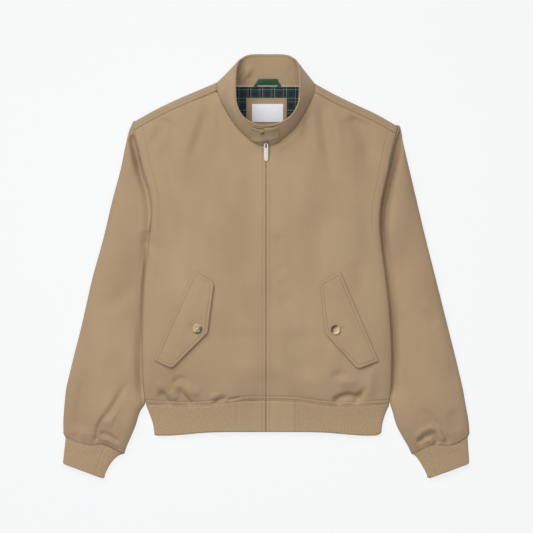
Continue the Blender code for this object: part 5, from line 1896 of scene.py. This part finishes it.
@dataclass
class InsideNeck(Cloth):
    """What shows inside the back neck: checked lining, patch, blank label and hanger loop."""

    # Columns: left, right, low and high ends.
    lining: Four = (-75, 75, 228, 332)
    patch: Four = (-36.5, 38.5, 238, 311)
    label: Four = (-26, 31.8, 266.4, 300)
    loop_foot: Pair = (-26, 30.5)
    loop_top: Pair = (-14, 21)
    loop_ends: tuple[float, float, float] = (329.8, 334.6, 345.8)  # y of its feet, its arch and its top

    def sheet(self, node: str, box: Sequence[float], low: float, wall: float, bolt: Bolt, seed: int) -> Array:
        """Adds a rectangle of cloth that lies at a height, gently uneven.

        Args:
            node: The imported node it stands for.
            box: Left, right, low and high ends.
            low: Height of its underside.
            wall: Its thickness.
            bolt: Its finish and slot.
            seed: Seed of its unevenness.

        Returns:
            Its grid.
        """
        left, right, bottom, top = box
        x, y = np.meshgrid(np.linspace(left, right, 36), np.linspace(bottom, top, 30), indexing="ij")
        grid = np.stack([x, y, low + wall + 0.25 * np.abs(rumple(x * 2, y * 2, seed, 0.6))], axis=-1)
        flat = {"flat": ((right - left) * MM, (top - bottom) * MM)}
        write_grid(node, grid, bolt, flat, wall=wall, round_edge=0.25)
        return grid

    def build(self) -> None:
        """Builds the four pieces and sews the patch down."""
        self.sheet("lining_back_neck", self.lining, 2.1, 0.9, self.wardrobe.check, 5)
        patch = self.sheet("label_patch", self.patch, 3.5, 0.9, self.wardrobe.twill, 6)
        self.sheet("label", self.label, 5.0, 0.7, self.wardrobe.label, 7)
        for line in (patch[1:-1, 1], patch[1:-1, -2], patch[1, 1:-1], patch[-2, 1:-1]):
            self.sewing.sew(line)
        self.loop()

    def loop(self) -> None:
        """The hanger loop: a tape from its feet at the neck seam up over the collar, bowed off it."""
        feet, arch, top = self.loop_ends
        u, v = np.meshgrid(np.linspace(0, 1, 60), np.linspace(0, 1, 14), indexing="ij")
        x = lerp(lerp(*self.loop_foot, u), lerp(*self.loop_top, u), v**0.8)
        y = lerp(lerp(feet, arch, smooth((np.minimum(u, 1 - u) - 0.13) / 0.05)), top, v)
        z = 6.6 + 2.4 * np.sin(math.pi * u) ** 0.6 * smooth(v * 1.4) - 0.4 * (1 - v)
        grid, sheet = np.stack([x, y, z], axis=-1), {"flat": (0.059, 0.016), "area": 0.00058}
        write_grid("hanger_loop", grid, self.wardrobe.loop, sheet, wall=1.2, round_edge=0.4)
        pale, line = Sewing(radius=0.42), np.linspace(-13.0, 21.0, 12)
        pale.sew(np.stack([line, 0 * line + arch - 0.9, 0 * line + 4.6], axis=1))
        pale.write("hanger_loop_stitching", self.wardrobe.pale_thread)


# --- studio


def add_object(name: str, data: bpy.types.ID, place: Sequence[float] = (0, 0, 0)) -> bpy.types.Object:
    """Adds a mesh, a light or a camera to the scene at a place in metres."""
    added = bpy.data.objects.new(name, data)
    added.location = place
    bpy.context.scene.collection.objects.link(added)
    return added


@dataclass(frozen=True)
class Studio:
    """Pale floor, soft daylight from the upper left and the camera straight above; sizes in metres."""

    centre: Pair = (0.0009, -0.0009)
    distance: float = 9.0
    field_width: float = 0.986
    cloth_height: float = 0.01
    sensor: float = 36.0
    floor_size: float = 9.0
    floor_drop: float = 0.0004
    floor_glow: float = 0.86  # share of the floor's brightness that is its own, as on a light table
    floor_level: float = 0.956
    daylight: str = "#FFFDFA"
    sun_power: float = 1.50
    sun_spread: float = 40.0
    sun_rise: float = 48.0
    sun_turn: float = 120.0  # where the light comes from, degrees from +X
    box_power: float = 10.2
    box_size: float = 1.5
    box_place: tuple[float, float, float] = (-0.22, 0.13, 1.26)
    sky: float = 0.3
    horizon: float = 0.12
    overhead: float = 1.5  # power of the sky's rise to its brightest point overhead

    def build(self) -> None:
        """Builds the floor, the lights and the camera."""
        self.floor()
        self.lights()
        self.sky_dome()
        self.camera()

    def floor(self) -> None:
        """A wide plane just under the jacket: frosted white acrylic of a light table, lit from below."""
        half, low = self.floor_size / 2, -self.floor_drop
        mesh = bpy.data.meshes.new("floor")
        mesh.from_pydata([(-half, -half, low), (half, -half, low), (half, half, low), (-half, half, low)], [],
                         [(0, 1, 2, 3)])
        constants = {
            "Roughness": 0.9, "Specular IOR Level": 0.0, "Emission Color": linear("#FDFEFF"),
            "Emission Strength": self.floor_level * self.floor_glow,
        }
        material, tree, shader = new_material("frosted_white_acrylic", constants)
        place = add_node(tree, "TexCoord")["Object"]
        noise = add_node(tree, "TexNoise", {"Vector": place, "Scale": 3.0})["Fac"]
        add_node(tree, "ValToRGB", {"Fac": noise}, ((0.0, "#656566"), (1.0, "#676768")), shader["Base Color"])
        mesh.materials.append(material)
        floor = add_object("floor", mesh)

    def lights(self) -> None:
        """A broad sun from the upper left and a softbox above the chest."""
        lamp = bpy.data.lights.new("window", "SUN")
        lamp.energy, lamp.angle = self.sun_power, math.radians(self.sun_spread)
        lamp.color = linear(self.daylight)[:3]
        rise, turn = math.radians(self.sun_rise), math.radians(self.sun_turn)
        toward = Vector((math.cos(turn) * math.cos(rise), math.sin(turn) * math.cos(rise), math.sin(rise)))
        sun = add_object("window", lamp)
        sun.rotation_mode = "QUATERNION"
        sun.rotation_quaternion = toward.to_track_quat("Z", "Y")
        panel = bpy.data.lights.new("softbox", "AREA")
        panel.energy, panel.size, panel.color = self.box_power, self.box_size, linear("#FFFEFB")[:3]
        add_object("softbox", panel, self.box_place)

    def sky_dome(self) -> None:
        """A dim sky, brightest overhead: horizon + (sky - horizon) * height ^ overhead."""
        world = bpy.data.worlds.new("studio")
        world.use_nodes = True
        tree = world.node_tree
        background = tree.nodes["Background"].inputs
        place = add_node(tree, "TexCoord")["Generated"]
        height = add_node(tree, "SeparateXYZ", {"Vector": place})["Z"]
        held = add_node(tree, "Math", {0: height, 1: 0.0}, operation="MAXIMUM")[0]
        raised = add_node(tree, "Math", {0: held, 1: self.overhead}, operation="POWER")[0]
        levels = {"Value": raised, "To Min": self.horizon, "To Max": self.sky}
        add_node(tree, "MapRange", levels, to=background["Strength"])
        background["Color"].default_value = linear(self.daylight)
        bpy.context.scene.world = world
        bpy.context.scene.view_settings.view_transform = "Standard"

    def camera(self) -> None:
        """A long lens straight above, framed on the field's real width at the cloth's height."""
        lens = bpy.data.cameras.new("overhead")
        lens.sensor_width, lens.clip_end = self.sensor, 50
        lens.lens = self.sensor * (self.distance - self.cloth_height) / self.field_width
        bpy.context.scene.camera = add_object("overhead", lens, (*self.centre, self.distance))


# --- jacket


@dataclass
class Jacket:
    """The whole jacket, built piece by piece in the order in which it is sewn."""

    form: Form = field(default_factory=Form)
    wardrobe: Wardrobe = field(default_factory=Wardrobe)
    sewing: Sewing = field(default_factory=Sewing)
    # Columns: side, corners, the button's place, its buttonhole's reach and where its smoke lies.
    flaps: tuple[tuple, ...] = (
        (Side.RIGHT, ((-132.3, -9.2), (-96.2, -31.5), (-108.2, -123), (-173.9, -188.7), (-206.3, -173.9)),
         (-126.5, -115.4), (-14.4, 9.0), -40.0),
        (Side.LEFT, ((136.9, -10.2), (99.5, -31.5), (110.8, -124.9), (168.9, -189.3), (207.8, -175.8)),
         (128.0, -117.7), (15.4, 7.0), 140.0),
    )

    def build(self) -> None:
        """Builds every piece."""
        shared = (self.form, self.wardrobe, self.sewing)
        backs = Back(*shared).build()
        fronts = {side: Front(*shared, side=side) for side in Side}
        hems = {}
        for side, front in fronts.items():
            front.build()
            line = front.points(front.columns(), np.array([0.0]))[:, 0]
            hems[side] = np.concatenate([line, front.wrap(line[-1:, 1])[:, 0]])
            last = Sleeve(*shared, side=side).build()
            Cuff(*shared, side=side).build(*last)
        HemBand(*shared).build(hems, backs)
        collar = Collar(*shared).build(fronts, backs)
        CollarTab(*shared).build(collar)
        for flap in self.flaps:
            PocketFlap(*shared, *flap).build()
        Zip(*shared).build()
        InsideNeck(*shared).build()
        self.sewing.write("topstitching", self.wardrobe.thread)


def main() -> None:
    """Builds the studio and the jacket, and reports each piece."""
    logging.basicConfig(level=logging.INFO, format="%(name)s: %(message)s")
    Studio().build()
    Jacket().build()


if __name__ == "__main__":
    main()
